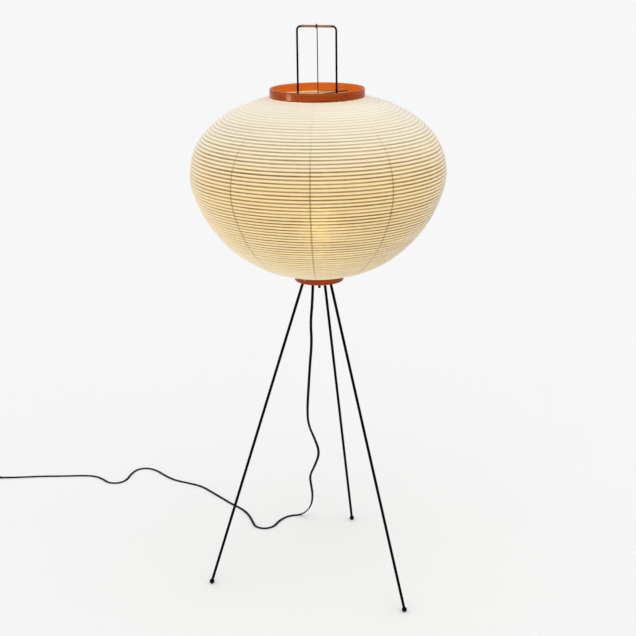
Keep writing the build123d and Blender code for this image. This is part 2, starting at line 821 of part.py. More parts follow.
def switch_rocker():
    """A key hollowed along its top, tipped to ON, with a pin out of each side."""
    key = Pos(0, 0, rocker_proud) * Box(rocker_length, rocker_width, rocker_depth)
    hollow_height = rocker_proud + rocker_depth / 2 - rocker_dip + rocker_hollow
    key -= Pos(0, 0, hollow_height) * Rot(90, 0, 0) * Cylinder(rocker_hollow, 2 * rocker_width)
    key = chamfer(key.faces().sort_by(Axis.Z)[0].edges().filter_by(Axis.Y), switch_bevel)
    reach = rocker_width / 2 + ear_gap + ear_t - thread_gap
    key += Rot(90, 0, 0) * disc(rocker_pin / 2, -reach, reach)
    return switch_middle(rocker_axis()) * Rot(0, rocker_tilt, 0) * key


def switch_contacts():
    """Two brass strips on the tray's floor, one under each end of the rocker."""
    floor = (Align.CENTER, Align.CENTER, Align.MIN)
    strips = []
    for side in (-1, 1):
        foot = Pos(side * contact_place, 0, switch_shell)
        post = Pos(side * (contact_place + (contact_length - contact_t) / 2), 0, switch_shell)
        strip = foot * Box(contact_length, contact_width, contact_t, align=floor)
        strip += post * Box(contact_t, contact_width, contact_post, align=floor)
        strips.append(switch_middle() * strip)
    return strips


def switch_screws():
    """Screws up through the tray's posts into the cover's."""
    high = switch_split + screw_above
    return [switch_middle() * disc(screw_shank / 2, screw_recess, high, x, y) for x, y in screw_places()]


# Plug


def plug_start():
    """Where the cord meets the plug: the end of the coil's tail."""
    x = switch_start[0] - switch_length - coil_lead + coil_tail
    y = switch_start[1] - 2 * coil_radius
    return Vector(x, y, cord_d / 2 + coil_pitch)


def plug_body():
    """A moulded body that swells from its nose to the face that the blades stand on."""
    end = plug_nose + plug_length
    outline = [
        (0, 0), (plug_nose_tip, 0), (plug_nose_end, plug_nose), (plug_radius, plug_nose + plug_shoulder),
        (plug_radius, end - plug_bevel), (plug_radius - plug_bevel, end), (0, end),
    ]
    return Pos(*plug_start()) * Rot(0, 90, 0) * turned(outline, flats(plug_radius))


def plug_blades():
    """Two flat blades with a hole near the end of each, standing out of the plug's face."""
    face = plug_start() + Vector(plug_nose + plug_length, 0, 0)
    blades = []
    for side in (-1, 1):
        blade = Pos(blade_length / 2, 0, 0) * Box(blade_length, blade_t, blade_w)
        eye = hole(blade_hole / 2, -blade_t, blade_t)
        blade -= Pos(blade_length - blade_hole_from_end, 0, 0) * Rot(90, 0, 0) * eye
        blades.append(Pos(*face) * Pos(0, side * blade_apart / 2, 0) * blade)
    return blades


# Everything, piece by piece

for leg_name, leg_angle in leg_angles().items():
    write(f"leg_{leg_name}", leg(leg_angle))
write("ball_feet", *[ball_foot(angle) for angle in leg_angles().values()])
write("hub_plate", hub_plate())
write("leg_sockets", *[leg_socket(angle) for angle in leg_angles().values()])
write("centre_stud", centre_stud())
write("stud_nut", stud_nut())
write("cord_grommet", cord_grommet())
write("cord_inside", cord_inside())
write("handle_frame", handle_frame())
write("frame_nuts", *frame_nuts())
write("cane_wrap", cane_wrap())
write("cane_ties", *cane_ties())
write("bottom_ring", bottom_ring())
write("ring_bridge", ring_bridge())
write("bridge_screws", *bridge_screws())
write("paper_shade", paper_shade())
write("top_ring", top_ring())
write("top_bridge", top_bridge())
write("hanger_wire", hanger_wire())
write("holder_cap", holder_cap())
write("holder_body", holder_body())
write("holder_core", holder_core())
write("screw_shell", screw_shell())
write("contact_tongue", contact_tongue())
write("bulb_cap", bulb_cap())
write("bulb_glass", bulb_glass())
write("cord_run", cord_run())
write("cord_coil", cord_coil())
write("switch_base", switch_base())
write("switch_cover", switch_cover())
write("switch_rocker", switch_rocker())
write("switch_contacts", *switch_contacts())
write("switch_screws", *switch_screws())
write("plug_body", plug_body())
write("plug_blades", *plug_blades())
print("overall height to the crossbar's top:", crossbar_height + handle_wire / 2 + cane_t)
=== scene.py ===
from math import atan2, cos, exp, hypot, pi, radians, sin, tan

import bpy
from mathutils import Matrix, Vector


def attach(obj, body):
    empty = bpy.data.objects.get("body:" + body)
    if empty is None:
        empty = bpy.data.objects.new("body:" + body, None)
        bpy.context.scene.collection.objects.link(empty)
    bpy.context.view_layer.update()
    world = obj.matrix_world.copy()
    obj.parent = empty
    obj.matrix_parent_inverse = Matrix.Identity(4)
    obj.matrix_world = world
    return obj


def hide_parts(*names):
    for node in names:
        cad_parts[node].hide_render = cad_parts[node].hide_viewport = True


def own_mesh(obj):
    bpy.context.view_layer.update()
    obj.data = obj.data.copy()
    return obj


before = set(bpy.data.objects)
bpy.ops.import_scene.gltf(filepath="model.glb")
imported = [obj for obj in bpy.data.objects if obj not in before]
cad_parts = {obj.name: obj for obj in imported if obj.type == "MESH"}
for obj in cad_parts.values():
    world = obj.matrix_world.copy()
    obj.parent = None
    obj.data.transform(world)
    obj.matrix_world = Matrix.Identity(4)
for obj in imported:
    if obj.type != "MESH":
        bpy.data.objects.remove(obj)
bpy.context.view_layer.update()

# Paper lantern floor lamp. Sizes are written in millimetres, as they are measured, and mm turns them
# into the scene's metres. The origin is on the floor under the lamp's axis, and +Z is up.
mm = 0.001

# Stand
foot_circle = 256.0
foot_ball = 11.0
foot_flat = 3.0
leg_rod = 6.0
leg_hub_radius = 32.0
leg_grip = 13.0
leg_in_ball = 3.5
tripod_turn = -16.3

# Hub
hub_height = 699.0
hub_sheet = 3.0
hub_top = hub_height + hub_sheet
hub_radius = 47.0
hub_rim = 4.0
hub_rim_wall = 1.5
stud_radius = 3.0
stud_low = 673.0
stud_high = 715.0
grommet_reach = 13.5
grommet_neck = 9.0
grommet_flange = 12.6

# Rings and shade
ring_wall = 4.0
low_ring_radius = 52.0
low_ring_low, low_ring_high = 693.0, 708.0
top_ring_radius = 97.0
top_ring_low, top_ring_high = 1078.0, 1095.0
shade_radius = 265.0
shade_belly = 0.559          # height of the widest place, as a share of the shade's height
paper_gap = 0.3
lower_full, lower_flat = 1.48, 2.466
upper_full, upper_flat = 2.43, 1.918
rib_count = 72
paper_sag = 1.1              # how far the paper dips between two turns of the rib
paper_t = 0.3
bamboo_wide, bamboo_deep = 1.7, 1.2
gore_count = 10
first_seam = 87.2            # direction of one of the seams between the strips of paper, in degrees

# Handle frame, bridges and hanger
handle_wire = 4.0
handle_half = 41.0
handle_low = 692.0
crossbar_height = 1217.0
handle_corner = 8.0
cane_length = 64.0
cane_t = 0.6
thin_wire = 2.0
top_bridge_height = 1081.0
top_bridge_angle = 47.7
hook_gap = 0.3

# Cord, switch and plug
cord_wide = 6.0
cord_thick = 2.9
switch_low_x, switch_high_x = -950.0, -892.0
switch_y = 500.0


def around(radius, angle, height=0.0):
    """A point at a distance and direction from the lamp's axis, in metres from millimetres."""
    return Vector((radius * cos(radians(angle)), radius * sin(radians(angle)), height)) * mm


# Modelling by hand


def rest():
    """Leaves edit mode and lets go of everything."""
    if bpy.context.object and bpy.context.object.mode == "EDIT":
        bpy.ops.object.mode_set(mode="OBJECT")
    bpy.ops.object.select_all(action="DESELECT")


def take(piece):
    rest()
    piece.select_set(True)
    bpy.context.view_layer.objects.active = piece
    return piece


def name_it(name):
    piece = bpy.context.object
    piece.name = name
    piece.data.name = name
    return piece


def edit_all():
    """Opens the active piece for editing by its points, with all of it selected."""
    bpy.ops.object.mode_set(mode="EDIT")
    bpy.ops.mesh.select_mode(type="VERT")
    bpy.ops.mesh.select_all(action="SELECT")


def pull(way):
    """Extrudes what is selected."""
    bpy.ops.mesh.extrude_region_move(TRANSFORM_OT_translate={"value": tuple(way)})


def close_up(threshold=1e-6):
    """Merges doubles, turns the faces outwards and leaves edit mode."""
    bpy.ops.mesh.select_all(action="SELECT")
    bpy.ops.mesh.remove_doubles(threshold=threshold)
    bpy.ops.mesh.normals_make_consistent(inside=False)
    bpy.ops.object.mode_set(mode="OBJECT")


def smooth(piece, angle=35):
    take(piece)
    bpy.ops.object.shade_smooth_by_angle(angle=radians(angle))
    return piece


def apply_place(piece):
    take(piece)
    bpy.ops.object.transform_apply(location=True, rotation=True, scale=True)
    return piece


def apply_all(piece):
    """Applies a piece's modifiers, in their order."""
    take(piece)
    for modifier in list(piece.modifiers):
        bpy.ops.object.modifier_apply(modifier=modifier.name)
    return piece


def eased(piece, width, segments=2, angle=30):
    """Rounds a piece's sharp edges."""
    bevel = piece.modifiers.new("eased edges", "BEVEL")
    bevel.width = width * mm
    bevel.segments = segments
    bevel.limit_method = "ANGLE"
    bevel.angle_limit = radians(angle)
    return apply_all(piece)


def join(name, pieces):
    """Joins pieces into the first."""
    take(pieces[0])
    for piece in pieces[1:]:
        piece.select_set(True)
    if len(pieces) > 1:
        bpy.ops.object.join()
    return name_it(name)


def chain(points):
    """One vertex drawn out along the points into a line of edges; it is left in edit mode."""
    rest()
    bpy.ops.mesh.primitive_plane_add(size=mm)
    edit_all()
    bpy.ops.mesh.merge(type="CENTER")
    bpy.ops.transform.translate(value=points[0])
    for before, after in zip(points, points[1:]):
        pull(after - before)
    bpy.ops.mesh.select_all(action="SELECT")


def turned(name, outline, steps, x=0.0, y=0.0, angle=35):
    """A piece turned about an upright axis from its outline of (radius, height) pairs.

    An outline that ends where it starts makes a ring.
    """
    chain([Vector((x + r, y, z)) * mm for r, z in outline])
    bpy.ops.mesh.spin(steps=steps, angle=2 * pi, center=(x * mm, y * mm, 0), axis=(0, 0, 1))
    close_up()
    return smooth(name_it(name), angle)


def arc(middle_r, middle_z, radius, start, end, steps):
    """Points of an arc in an outline, between two directions in degrees."""
    points = []
    for i in range(steps + 1):
        turn = radians(start + (end - start) * i / steps)
        points.append((middle_r + radius * cos(turn), middle_z + radius * sin(turn)))
    return points


def wire(name, corners, bends, radius, sides=16, steps=8):
    """A round wire that runs straight between its corners, in metres, and turns in an arc at each."""
    way = (corners[1] - corners[0]).normalized()
    rest()
    bpy.ops.mesh.primitive_circle_add(
        vertices=sides, radius=radius * mm, location=corners[0], rotation=way.to_track_quat("Z", "Y").to_euler()
    )
    piece = name_it(name)
    apply_place(piece)
    edit_all()
    at = corners[0]
    for corner, after, bend in zip(corners[1:], corners[2:], bends):
        next_way = (after - corner).normalized()
        turn = way.angle(next_way)
        back = bend * mm * tan(turn / 2)
        pull(corner - way * back - at)
        at = corner + next_way * back
        axis = way.cross(next_way).normalized()
        middle = corner - way * back + axis.cross(way) * bend * mm
        bpy.ops.mesh.spin(steps=steps, angle=turn, center=middle, axis=-axis)
        way = next_way
    pull(corners[-1] - at)
    bpy.ops.mesh.select_all(action="SELECT")
    bpy.ops.mesh.fill_holes(sides=0)
    close_up()
    return smooth(piece, 50)


def block(name, low, high):
    """A block between two corners, in millimetres; every use of it is shaped further."""
    rest()
    low, high = Vector(low) * mm, Vector(high) * mm
    bpy.ops.mesh.primitive_cube_add(size=1, location=(low + high) / 2)
    piece = name_it(name)
    piece.scale = high - low
    return apply_place(piece)


def pick_faces(piece, wanted):
    """Selects the faces whose middle and normal suit."""
    take(piece)
    edit_all()
    bpy.ops.mesh.select_all(action="DESELECT")
    bpy.ops.object.mode_set(mode="OBJECT")
    for face in piece.data.polygons:
        face.select = wanted(face.center, face.normal)
    bpy.ops.object.mode_set(mode="EDIT")
    bpy.ops.mesh.select_mode(type="FACE")


def pick_edges(piece, wanted):
    """Selects the edges whose two ends suit."""
    take(piece)
    edit_all()
    bpy.ops.mesh.select_mode(type="EDGE")
    bpy.ops.mesh.select_all(action="DESELECT")
    bpy.ops.object.mode_set(mode="OBJECT")
    places = piece.data.vertices
    for edge in piece.data.edges:
        a, b = edge.vertices
        edge.select = wanted(places[a].co, places[b].co)
    bpy.ops.object.mode_set(mode="EDIT")


# Shade


def quarter_outline(height, end_radius, full, flat, steps=400):
    """Points from the widest place to an end of the shade, as (radius, height from the widest place)."""
    end_height = (1 - (end_radius / shade_radius) ** flat) ** (1 / full)
    points = []
    for i in range(steps + 1):
        turn = pi / 2 * i / steps
        radius, rise = cos(turn) ** (2 / flat), sin(turn) ** (2 / full)
        if radius * shade_radius < end_radius:
            break
        points.append((radius * shade_radius, rise * height / end_height))
    points.append((end_radius, height))
    return points


def shade_outline():
    """The shade's outline from its lower edge up to its upper edge, with its length up to each point."""
    low_edge, high_edge = low_ring_high + paper_gap, top_ring_low - paper_gap
    belly = low_edge + shade_belly * (top_ring_low - low_ring_high)
    under = quarter_outline(belly - low_edge, low_ring_radius, lower_full, lower_flat)
    over = quarter_outline(high_edge - belly, top_ring_radius, upper_full, upper_flat)
    points = [(r, belly - z) for r, z in reversed(under)] + [(r, belly + z) for r, z in over[1:]]
    lengths = [0.0]
    for (r, z), (r_next, z_next) in zip(points, points[1:]):
        lengths.append(lengths[-1] + hypot(r_next - r, z_next - z))
    return points, lengths


outline_points, outline_lengths = shade_outline()


def pitch_at(share):
    """How far apart the rib's turns lie, beside their mean: wider at the two ends, most at the top."""
    return 0.9 + 0.2 * (1 - share) ** 4 + 0.42 * share**5


def turn_shares(steps=720):
    """The share of the outline's length that each step of the rib's count has reached."""
    shares = [0.0]
    for i in range(steps):
        shares.append(shares[-1] + pitch_at((i + 0.5) / steps))
    return [s / shares[-1] for s in shares]


reached = turn_shares()


def on_outline(count):
    """Where a count of rib turns from the lower edge lies on the outline, and its outward normal there."""
    step = min(max(count / rib_count, 0), 1) * (len(reached) - 1)
    whole = min(int(step), len(reached) - 2)
    share = reached[whole] + (reached[whole + 1] - reached[whole]) * (step - whole)
    goal = share * outline_lengths[-1]
    low, high = 0, len(outline_lengths) - 1
    while high - low > 1:
        middle = (low + high) // 2
        if outline_lengths[middle] <= goal:
            low = middle
        else:
            high = middle
    (r, z), (r_next, z_next) = outline_points[low], outline_points[high]
    length = outline_lengths[high] - outline_lengths[low]
    part = (goal - outline_lengths[low]) / length
    return r + (r_next - r) * part, z + (z_next - z) * part, (z_next - z) / length, (r - r_next) / length


def unevenness(count, angle):
    """A hand-made shade is never quite round: a few tenths of a millimetre, in and out."""
    return 0.25 * sin(2 * angle + count * 0.31) + 0.18 * sin(5 * angle - count * 0.53) + 0.12 * sin(count * 2.7)


def shade_place(count, angle, depth):
    """A point of the shade, depth under the ridge's surface."""
    r, z, out, up = on_outline(count)
    ends = max(min(count, rib_count - count, 2), 0) / 2
    sunk = 0.35 - unevenness(count, angle) * ends
    r, z = r - (sunk + depth) * out, z - (sunk * ends + depth) * up
    return Vector((r * cos(angle), r * sin(angle), z)) * mm


def spun_for_winding(name, profile, steps):
    """Spins a profile once round the lamp's axis and leaves the two ends apart, to be wound up.

    Gives the piece, and for each of its points the number of its place in the profile and its step.
    """
    bpy.ops.object.mode_set(mode="OBJECT")
    piece = name_it(name)
    numbers = piece.data.attributes.new("place_in_profile", "INT", "POINT")
    for vertex in piece.data.vertices:
        numbers.data[vertex.index].value = min(
            range(len(profile)), key=lambda i: (profile[i] - vertex.co).length_squared
        )
    edit_all()
    bpy.ops.mesh.spin(steps=steps, angle=2 * pi, center=(0, 0, 0), axis=(0, 0, -1), use_auto_merge=False)
    bpy.ops.object.mode_set(mode="OBJECT")
    numbers = piece.data.attributes["place_in_profile"]
    places = []
    for vertex in piece.data.vertices:
        step = round(atan2(vertex.co.y, vertex.co.x) / (2 * pi) * steps) % steps
        if step == 0 and vertex.index >= len(profile):
            step = steps
        places.append((numbers.data[vertex.index].value, step))
    piece.data.attributes.remove(numbers)
    return piece, places


def paper_skin(columns=120, rows_per_turn=4):
    """The paper over the rib's turns, dipping between them.

    The rib is one long spiral, so each column of points is wound up by its share of a turn, and the last
    meets the first one turn higher.
    """
    dips = [0.0, 0.62, 1.0, 0.62]
    rows = rows_per_turn * (rib_count + 1) + 1
    profile = [Vector((100 + 0.5 * i, 0, i)) * mm for i in range(rows)]
    chain(profile)
    piece, places = spun_for_winding("paper_skin", profile, columns)
    counts = []
    for vertex, (row, column) in zip(piece.data.vertices, places):
        count = row / rows_per_turn - 1 + column / columns
        dip = dips[row % rows_per_turn] * paper_sag if 0 < count < rib_count else 0.0
        counts.append((column / columns, min(max(count, 0), rib_count)))
        vertex.co = shade_place(counts[-1][1], radians(first_seam) + 2 * pi * column / columns, dip)
    shade_map = piece.data.uv_layers.new(name="shade_map")
    for loop in piece.data.loops:
        turn, count = counts[loop.vertex_index]
        shade_map.data[loop.index].uv = (turn, count / rib_count)
    edit_all()
    bpy.ops.mesh.remove_doubles(threshold=2e-6)
    bpy.ops.mesh.select_all(action="SELECT")
    bpy.ops.mesh.dissolve_degenerate(threshold=1e-6)
    bpy.ops.mesh.select_all(action="SELECT")
    bpy.ops.mesh.normals_make_consistent(inside=False)
    bpy.ops.object.mode_set(mode="OBJECT")
    wall = piece.modifiers.new("paper", "SOLIDIFY")
    wall.thickness = paper_t * mm
    wall.offset = -1
    apply_all(piece)
    return smooth(piece, 70)


def bamboo_rib(steps=96):
    """The split bamboo inside the paper: one strip, wound up from ring to ring."""
    sides = [(0.5, 0.0), (0.25, 0.5), (-0.25, 0.5), (-0.5, 0.0), (-0.25, -0.5), (0.25, -0.5)]
    profile = []
    for k in range(rib_count):
        profile += [Vector((100 + side[1], 0, 3 * k + side[0])) * mm for side in sides]
    chain(profile[:6] + profile[:1])
    bpy.ops.mesh.remove_doubles(threshold=1e-6)
    bpy.ops.mesh.select_all(action="SELECT")
    for _ in range(rib_count - 1):
        bpy.ops.mesh.duplicate_move(TRANSFORM_OT_translate={"value": (0, 0, 3 * mm)})
    piece, places = spun_for_winding("bamboo_rib", profile, steps)
    for vertex, (number, step) in zip(piece.data.vertices, places):
        side = sides[number % 6]
        count, angle = number // 6 + step / steps, radians(first_seam) + 2 * pi * step / steps
        r, z, out, up = on_outline(count)
        middle = shade_place(count, angle, paper_t + bamboo_deep / 2 + 0.05)
        across = Vector((-up * cos(angle), -up * sin(angle), out))
        inwards = Vector((-out * cos(angle), -out * sin(angle), -up))
        vertex.co = middle + (across * side[0] * bamboo_wide - inwards * side[1] * bamboo_deep) * mm
    edit_all()
    bpy.ops.mesh.remove_doubles(threshold=1e-6)
    bpy.ops.mesh.select_all(action="SELECT")
    bpy.ops.mesh.fill_holes(sides=0)
    bpy.ops.mesh.select_all(action="SELECT")
    bpy.ops.mesh.normals_make_consistent(inside=False)
    bpy.ops.object.mode_set(mode="OBJECT")
    return smooth(piece, 50)


# Rings of bent wood


def bent_ring(name, radius, low, high, ease=1.0):
    """A strip of wood bent round: square outside and inside, with its four edges rounded."""
    inner = radius - ring_wall
    outline = (
        arc(radius - ease, low + ease, ease, -90, 0, 3)
        + arc(radius - ease, high - ease, ease, 0, 90, 3)
        + arc(inner + ease, high - ease, ease, 90, 180, 3)
        + arc(inner + ease, low + ease, ease, 180, 270, 3)
    )
    return turned(name, outline + outline[:1], 144)


# Handle frame, its cane and the wires


def handle_places():
    return around(handle_half, tripod_turn), around(handle_half, tripod_turn + 180)


def handle_frame():
    right, left = handle_places()
    low, high = Vector((0, 0, handle_low * mm)), Vector((0, 0, crossbar_height * mm))
    corners = [left + low, left + high, right + high, right + low]
    return wire("handle_wire_frame", corners, [handle_corner] * 2, handle_wire / 2, sides=20, steps=10)


def lay_on_crossbar(piece):
    """Lays a piece made about +Z at the origin along the crossbar."""
    place = Matrix.Translation((0, 0, crossbar_height * mm))
    piece.data.transform(place @ Matrix.Rotation(radians(tripod_turn), 4, "Z") @ Matrix.Rotation(pi / 2, 4, "Y"))
    return piece


def winding(name, start, end, inner, thick, wide, gap):
    """A flat strip wound round the Z axis, turn beside turn."""
    section = [
        (inner, 0.06 * wide), (inner + thick * 0.6, 0), (inner + thick, wide * 0.25), (inner + thick, wide * 0.75),
        (inner + thick * 0.6, wide), (inner, 0.94 * wide), (inner, 0.06 * wide),
    ]
    chain([Vector((r, 0, z + start)) * mm for r, z in section])
    bpy.ops.mesh.remove_doubles(threshold=1e-6)
    bpy.ops.object.mode_set(mode="OBJECT")
    piece = name_it(name)
    turns = max(1, round((end - start - wide) / (wide + gap)))
    screw = piece.modifiers.new("wound", "SCREW")
    screw.axis = "Z"
    screw.angle = 2 * pi
    screw.iterations = turns
    screw.screw_offset = (end - start - wide) / turns * mm
    screw.steps = screw.render_steps = 20
    screw.use_smooth_shade = False
    apply_all(piece)
    edit_all()
    bpy.ops.mesh.fill_holes(sides=0)
    close_up()
    return smooth(piece, 40)


def cane_on_handle():
    """The cane that a hand holds, wound close, with two tight turns over it near each end."""
    half = cane_length / 2
    wrap = lay_on_crossbar(winding("cane_winding", -half, half, handle_wire / 2, cane_t, 2.5, 0.12))
    ties = []
    for side in (-1, 1):
        middle = side * (half - 3.6)
        tie = winding("cane_tie", middle - 1.2, middle + 1.2, handle_wire / 2 + cane_t, 0.7, 1.1, 0.1)
        ties.append(lay_on_crossbar(tie))
    return wrap, join("cane_end_ties", ties)


def hanger():
    """The thin wire that holds the shade up: bent over the crossbar, and hooked under the top bridge."""
    low_turn = thin_wire + hook_gap
    high_turn = handle_wire / 2 + cane_t + hook_gap + thin_wire / 2
    low_side = around(low_turn, top_bridge_angle + 90)
    high_side = around(high_turn, tripod_turn + 90)
    under = Vector((0, 0, (top_bridge_height - low_turn) * mm))
    over = Vector((0, 0, (crossbar_height + high_turn) * mm))
    corners = [
        under + low_side + Vector((0, 0, 2 * low_turn * mm)), under + low_side, under - low_side,
        over + high_side, over - high_side, over - high_side - Vector((0, 0, 2 * high_turn * mm)),
    ]
    bends = [0.97 * low_turn] * 2 + [0.97 * high_turn] * 2
    return wire("hanger_hook_wire", corners, bends, thin_wire / 2, sides=12, steps=8)


def bridge_wire():
    reach = top_ring_radius - ring_wall + 2.6
    ends = [around(reach, top_bridge_angle + side, top_bridge_height) for side in (0, 180)]
    return wire("top_bridge_wire", ends, [], thin_wire / 2, sides=12)


# Legs and feet


def leg_angles():
    return [90 + tripod_turn + turn for turn in (0, 120, 240)]


def foot_height():
    return ((foot_ball / 2) ** 2 - (foot_flat / 2) ** 2) ** 0.5


def leg_at(angle, height):
    foot = foot_height()
    share = (height - foot) / (hub_height - foot)
    return around(foot_circle + (leg_hub_radius - foot_circle) * share, angle, height)


def leg_rods():
    """Three rods, each from inside its ball up past the hub, with their edges eased."""
    rods = []
    for name, angle in zip(("back", "left", "right"), leg_angles()):
        foot, hub = leg_at(angle, foot_height()), leg_at(angle, hub_height)
        way = (hub - foot).normalized()
        low = foot + way * (foot_ball / 2 - leg_in_ball) * mm
        rods.append(wire(f"leg_rod_{name}", [low, hub + way * leg_grip * mm], [], leg_rod / 2, sides=24))
        eased(rods[-1], 0.4)
    return rods


def ball_feet():
    """Three moulded balls, each with a small flat to stand on and a parting line round it."""
    radius, height = foot_ball / 2, foot_height()
    lowest = -90 + 16
    balls = []
    for angle in leg_angles():
        place = leg_at(angle, height) / mm
        outline = [(0, 0)] + arc(0, height, radius, lowest, -2, 9)
        outline += [(radius - 0.12, height)] + arc(0, height, radius, 2, 90, 10)
        outline[-1] = (0, height + radius)
        balls.append(turned("ball", outline, 32, x=place.x, y=place.y, angle=50))
    return join("moulded_ball_feet", balls)


# Hub


def hub_disc():
    """The pressed plate, its rim rolled down."""
    high, edge = hub_top, hub_radius
    outline = [(0, high)] + arc(edge - 1.5, high - 1.5, 1.5, 90, 0, 4)
    outline += [(edge, hub_height - hub_rim + 0.5), (edge - 0.5, hub_height - hub_rim)]
    outline += [(edge - hub_rim_wall, hub_height - hub_rim), (edge - hub_rim_wall, hub_height - 0.8)]
    outline += [(edge - hub_rim_wall - 0.8, hub_height), (0, hub_height)]
    return turned("hub_pressing", outline, 96)


def threaded_stud():
    """The stud through the hub, threaded under the plate, its end rounded over."""
    outline = [(0, stud_low), (1.8, stud_low), (2.6, stud_low + 0.6)]
    height = stud_low + 1.2
    while height < hub_height - 6:
        outline += [(stud_radius, height), (stud_radius, height + 0.2), (stud_radius - 0.4, height + 0.5)]
        height += 0.8
    outline += [(stud_radius, height + 0.2), (stud_radius, stud_high), (0, stud_high)]
    return turned("threaded_stud", outline, 24)


def cord_bush():
    """The soft bush in the hub: a flange over and under the plate, and a nose that tapers down the cord."""
    half, neck = grommet_flange / 2, grommet_neck / 2
    inner = cord_wide / 2 + 0.15
    outline = [(inner, 679.0), (inner + 0.35, 678.6)]
    for i in range(8):
        low = 680.0 + i * 1.9
        wide = inner + 0.5 + (neck - inner - 0.5) * (i + 0.5) / 8
        outline += [(wide, low), (wide, low + 1.2), (wide - 0.35, low + 1.45), (wide - 0.35, low + 1.8)]
    outline += [(neck, 696.4), (half - 0.5, 697.0), (half, 697.5), (half, hub_height), (neck, hub_height)]
    outline += [(neck, hub_top), (half - 1, hub_top), (half - 1, hub_top + 1.4), (half - 1.6, hub_top + 2)]
    outline += [(inner, hub_top + 2), (inner, 679.0)]
    return turned("cord_bush", outline, 32, x=-grommet_reach, angle=40)


# Bulb holder and bulb


def holder_cup():
    outline = [(0, 703.5), (8, 703.5), (8, 706.2)] + arc(8.8, 706.8, 0.8, 180, 90, 3)
    outline += [(11.5, 708.0), (16.6, 713.0)] + arc(16.0, 716.0, 2.5, -40, 0, 4)
    outline += [(18.5, 720.6), (18.1, 721.0), (18.1, 722.0), (16, 722.0), (16, 719.5), (0, 719.5)]
    return turned("holder_cup", outline, 64)


def holder_sleeve():
    """The ribbed sleeve that screws down over the cup."""
    outline = [(16.0, 722.0), (18.1, 722.0), (18.1, 723.0), (18.5, 723.6)]
    for i in range(6):
        low = 726.0 + 4.2 * i
        outline += [(18.5, low), (18.1, low + 0.5), (18.1, low + 1.3), (18.5, low + 1.8)]
    outline += arc(17.5, 755.0, 1.0, 0, 90, 3)
    outline += [(14.8, 756.0), (14.8, 754.0), (16.0, 754.0), (16.0, 722.0)]
    return turned("holder_sleeve", outline, 64)


def bulb_base():
    """The bulb's threaded cap, with the button under its cone of glass."""
    low = 731.9
    outline = [(0, low), (3.6, low), (4, low + 0.5), (4, low + 1.2), (6, low + 2.0), (12.0, low + 4.7)]
    height = low + 5.6
    while height < 752.5:
        outline += [(12.9, height), (13.1, height + 0.9), (12.9, height + 1.8), (12.2, height + 2.7)]
        height += 3.6
    outline += [(12.9, 754.6), (12.9, 755.6), (0, 755.6)]
    return turned("bulb_base", outline, 48, angle=60)


def bulb_globe():
    """The bulb's frosted glass, thin, its neck flowing into the globe."""
    low, middle, radius = 755.6, 802.6, 30.0
    outline = [(12.4, low), (12.5, low + 4), (13.2, low + 9), (14.8, low + 14), (17.2, low + 19.5)]
    outline += arc(0, middle, radius, -48, 90, 22)
    outline[-1] = (0, middle + radius)
    inside = [(r * 0.97, middle + (z - middle) * 0.97) for r, z in reversed(outline[1:])]
    outline += inside + [(11.6, low), (12.4, low)]
    return turned("bulb_globe", outline, 64, angle=60)


# Cord, switch and plug

cord_points = [
    (-13.5, 0, 690), (-15, 0, 646), (-20, 5, 594), (-18, 14, 546), (-23, 28, 490), (-27, 45, 430),
    (-31, 64, 372), (-30, 83, 324), (-15, 104, 278), (-5, 124, 236), (-16, 143, 196), (-30, 161, 160),
    (-27, 184, 124), (-24, 208, 88), (-27, 233, 52), (-35, 256, 24), (-54, 270, 1.6), (-84, 267, 1.6),
    (-108, 242, 1.6), (-120, 208, 1.6), (-142, 196, 1.6), (-166, 206, 1.6), (-175, 235, 1.6),
    (-186, 271, 1.6), (-204, 303, 1.6), (-235, 335, 1.6), (-263, 369, 1.6), (-291, 403, 1.6),
    (-322, 440, 1.6), (-361, 460, 1.6), (-399, 478, 1.6), (-429, 509, 1.6), (-455, 541, 1.6),
    (-483, 557, 1.6), (-509, 548, 1.6), (-521, 518, 1.6), (-527, 480, 1.6), (-545, 461, 1.6),
    (-572, 463, 1.6), (-591, 486, 1.6), (-614, 506, 1.6), (-648, 511, 1.6), (-704, 508, 1.6),
    (-760, 508, 1.6), (-812, 503, 1.6), (-856, 500, 2.2), (-892, 500, 3),
]


def coil_turns():
    """The put-away end of the lead: a turn and a half, lying on itself, and the tail to the plug."""
    points = [(-948.5, 500, 3), (-970, 500, 2.2), (-990, 500, 1.6)]
    y, height, steps = 500.0, 1.6, 6
    for way, across, rise in ((-1, -72, 0.0), (1, 65.5, 3.4), (-1, -65.5, 0.0)):
        for i in range(1, steps + 1):
            turn = pi * i / steps
            out = way * abs(across) / 2 * sin(turn)
            points.append((-990 + out, y + across / 2 * (1 - cos(turn)), height + rise * i / steps))
        y += across
        height += rise
    return points + [(-976, y, height + 2), (-966, y, 9), (-956, y, 9.5), (-948, y, 9.5)]


def route_line(name, points):
    """The points along a smooth curve, a NURBS spline pulled by the route's points."""
    curve = bpy.data.curves.new(name, "CURVE")
    curve.dimensions = "3D"
    spline = curve.splines.new("NURBS")
    spline.points.add(len(points) - 1)
    for point, place in zip(spline.points, points):
        point.co = (place[0] * mm, place[1] * mm, place[2] * mm, 1)
    spline.order_u = 3
    spline.use_endpoint_u = True
    spline.resolution_u = 10
    route = bpy.data.objects.new(name, curve)
    mesh = bpy.data.meshes.new_from_object(route)
    line = [vertex.co.copy() for vertex in mesh.vertices]
    bpy.data.meshes.remove(mesh)
    bpy.data.objects.remove(route)
    bpy.data.curves.remove(curve)
    return line


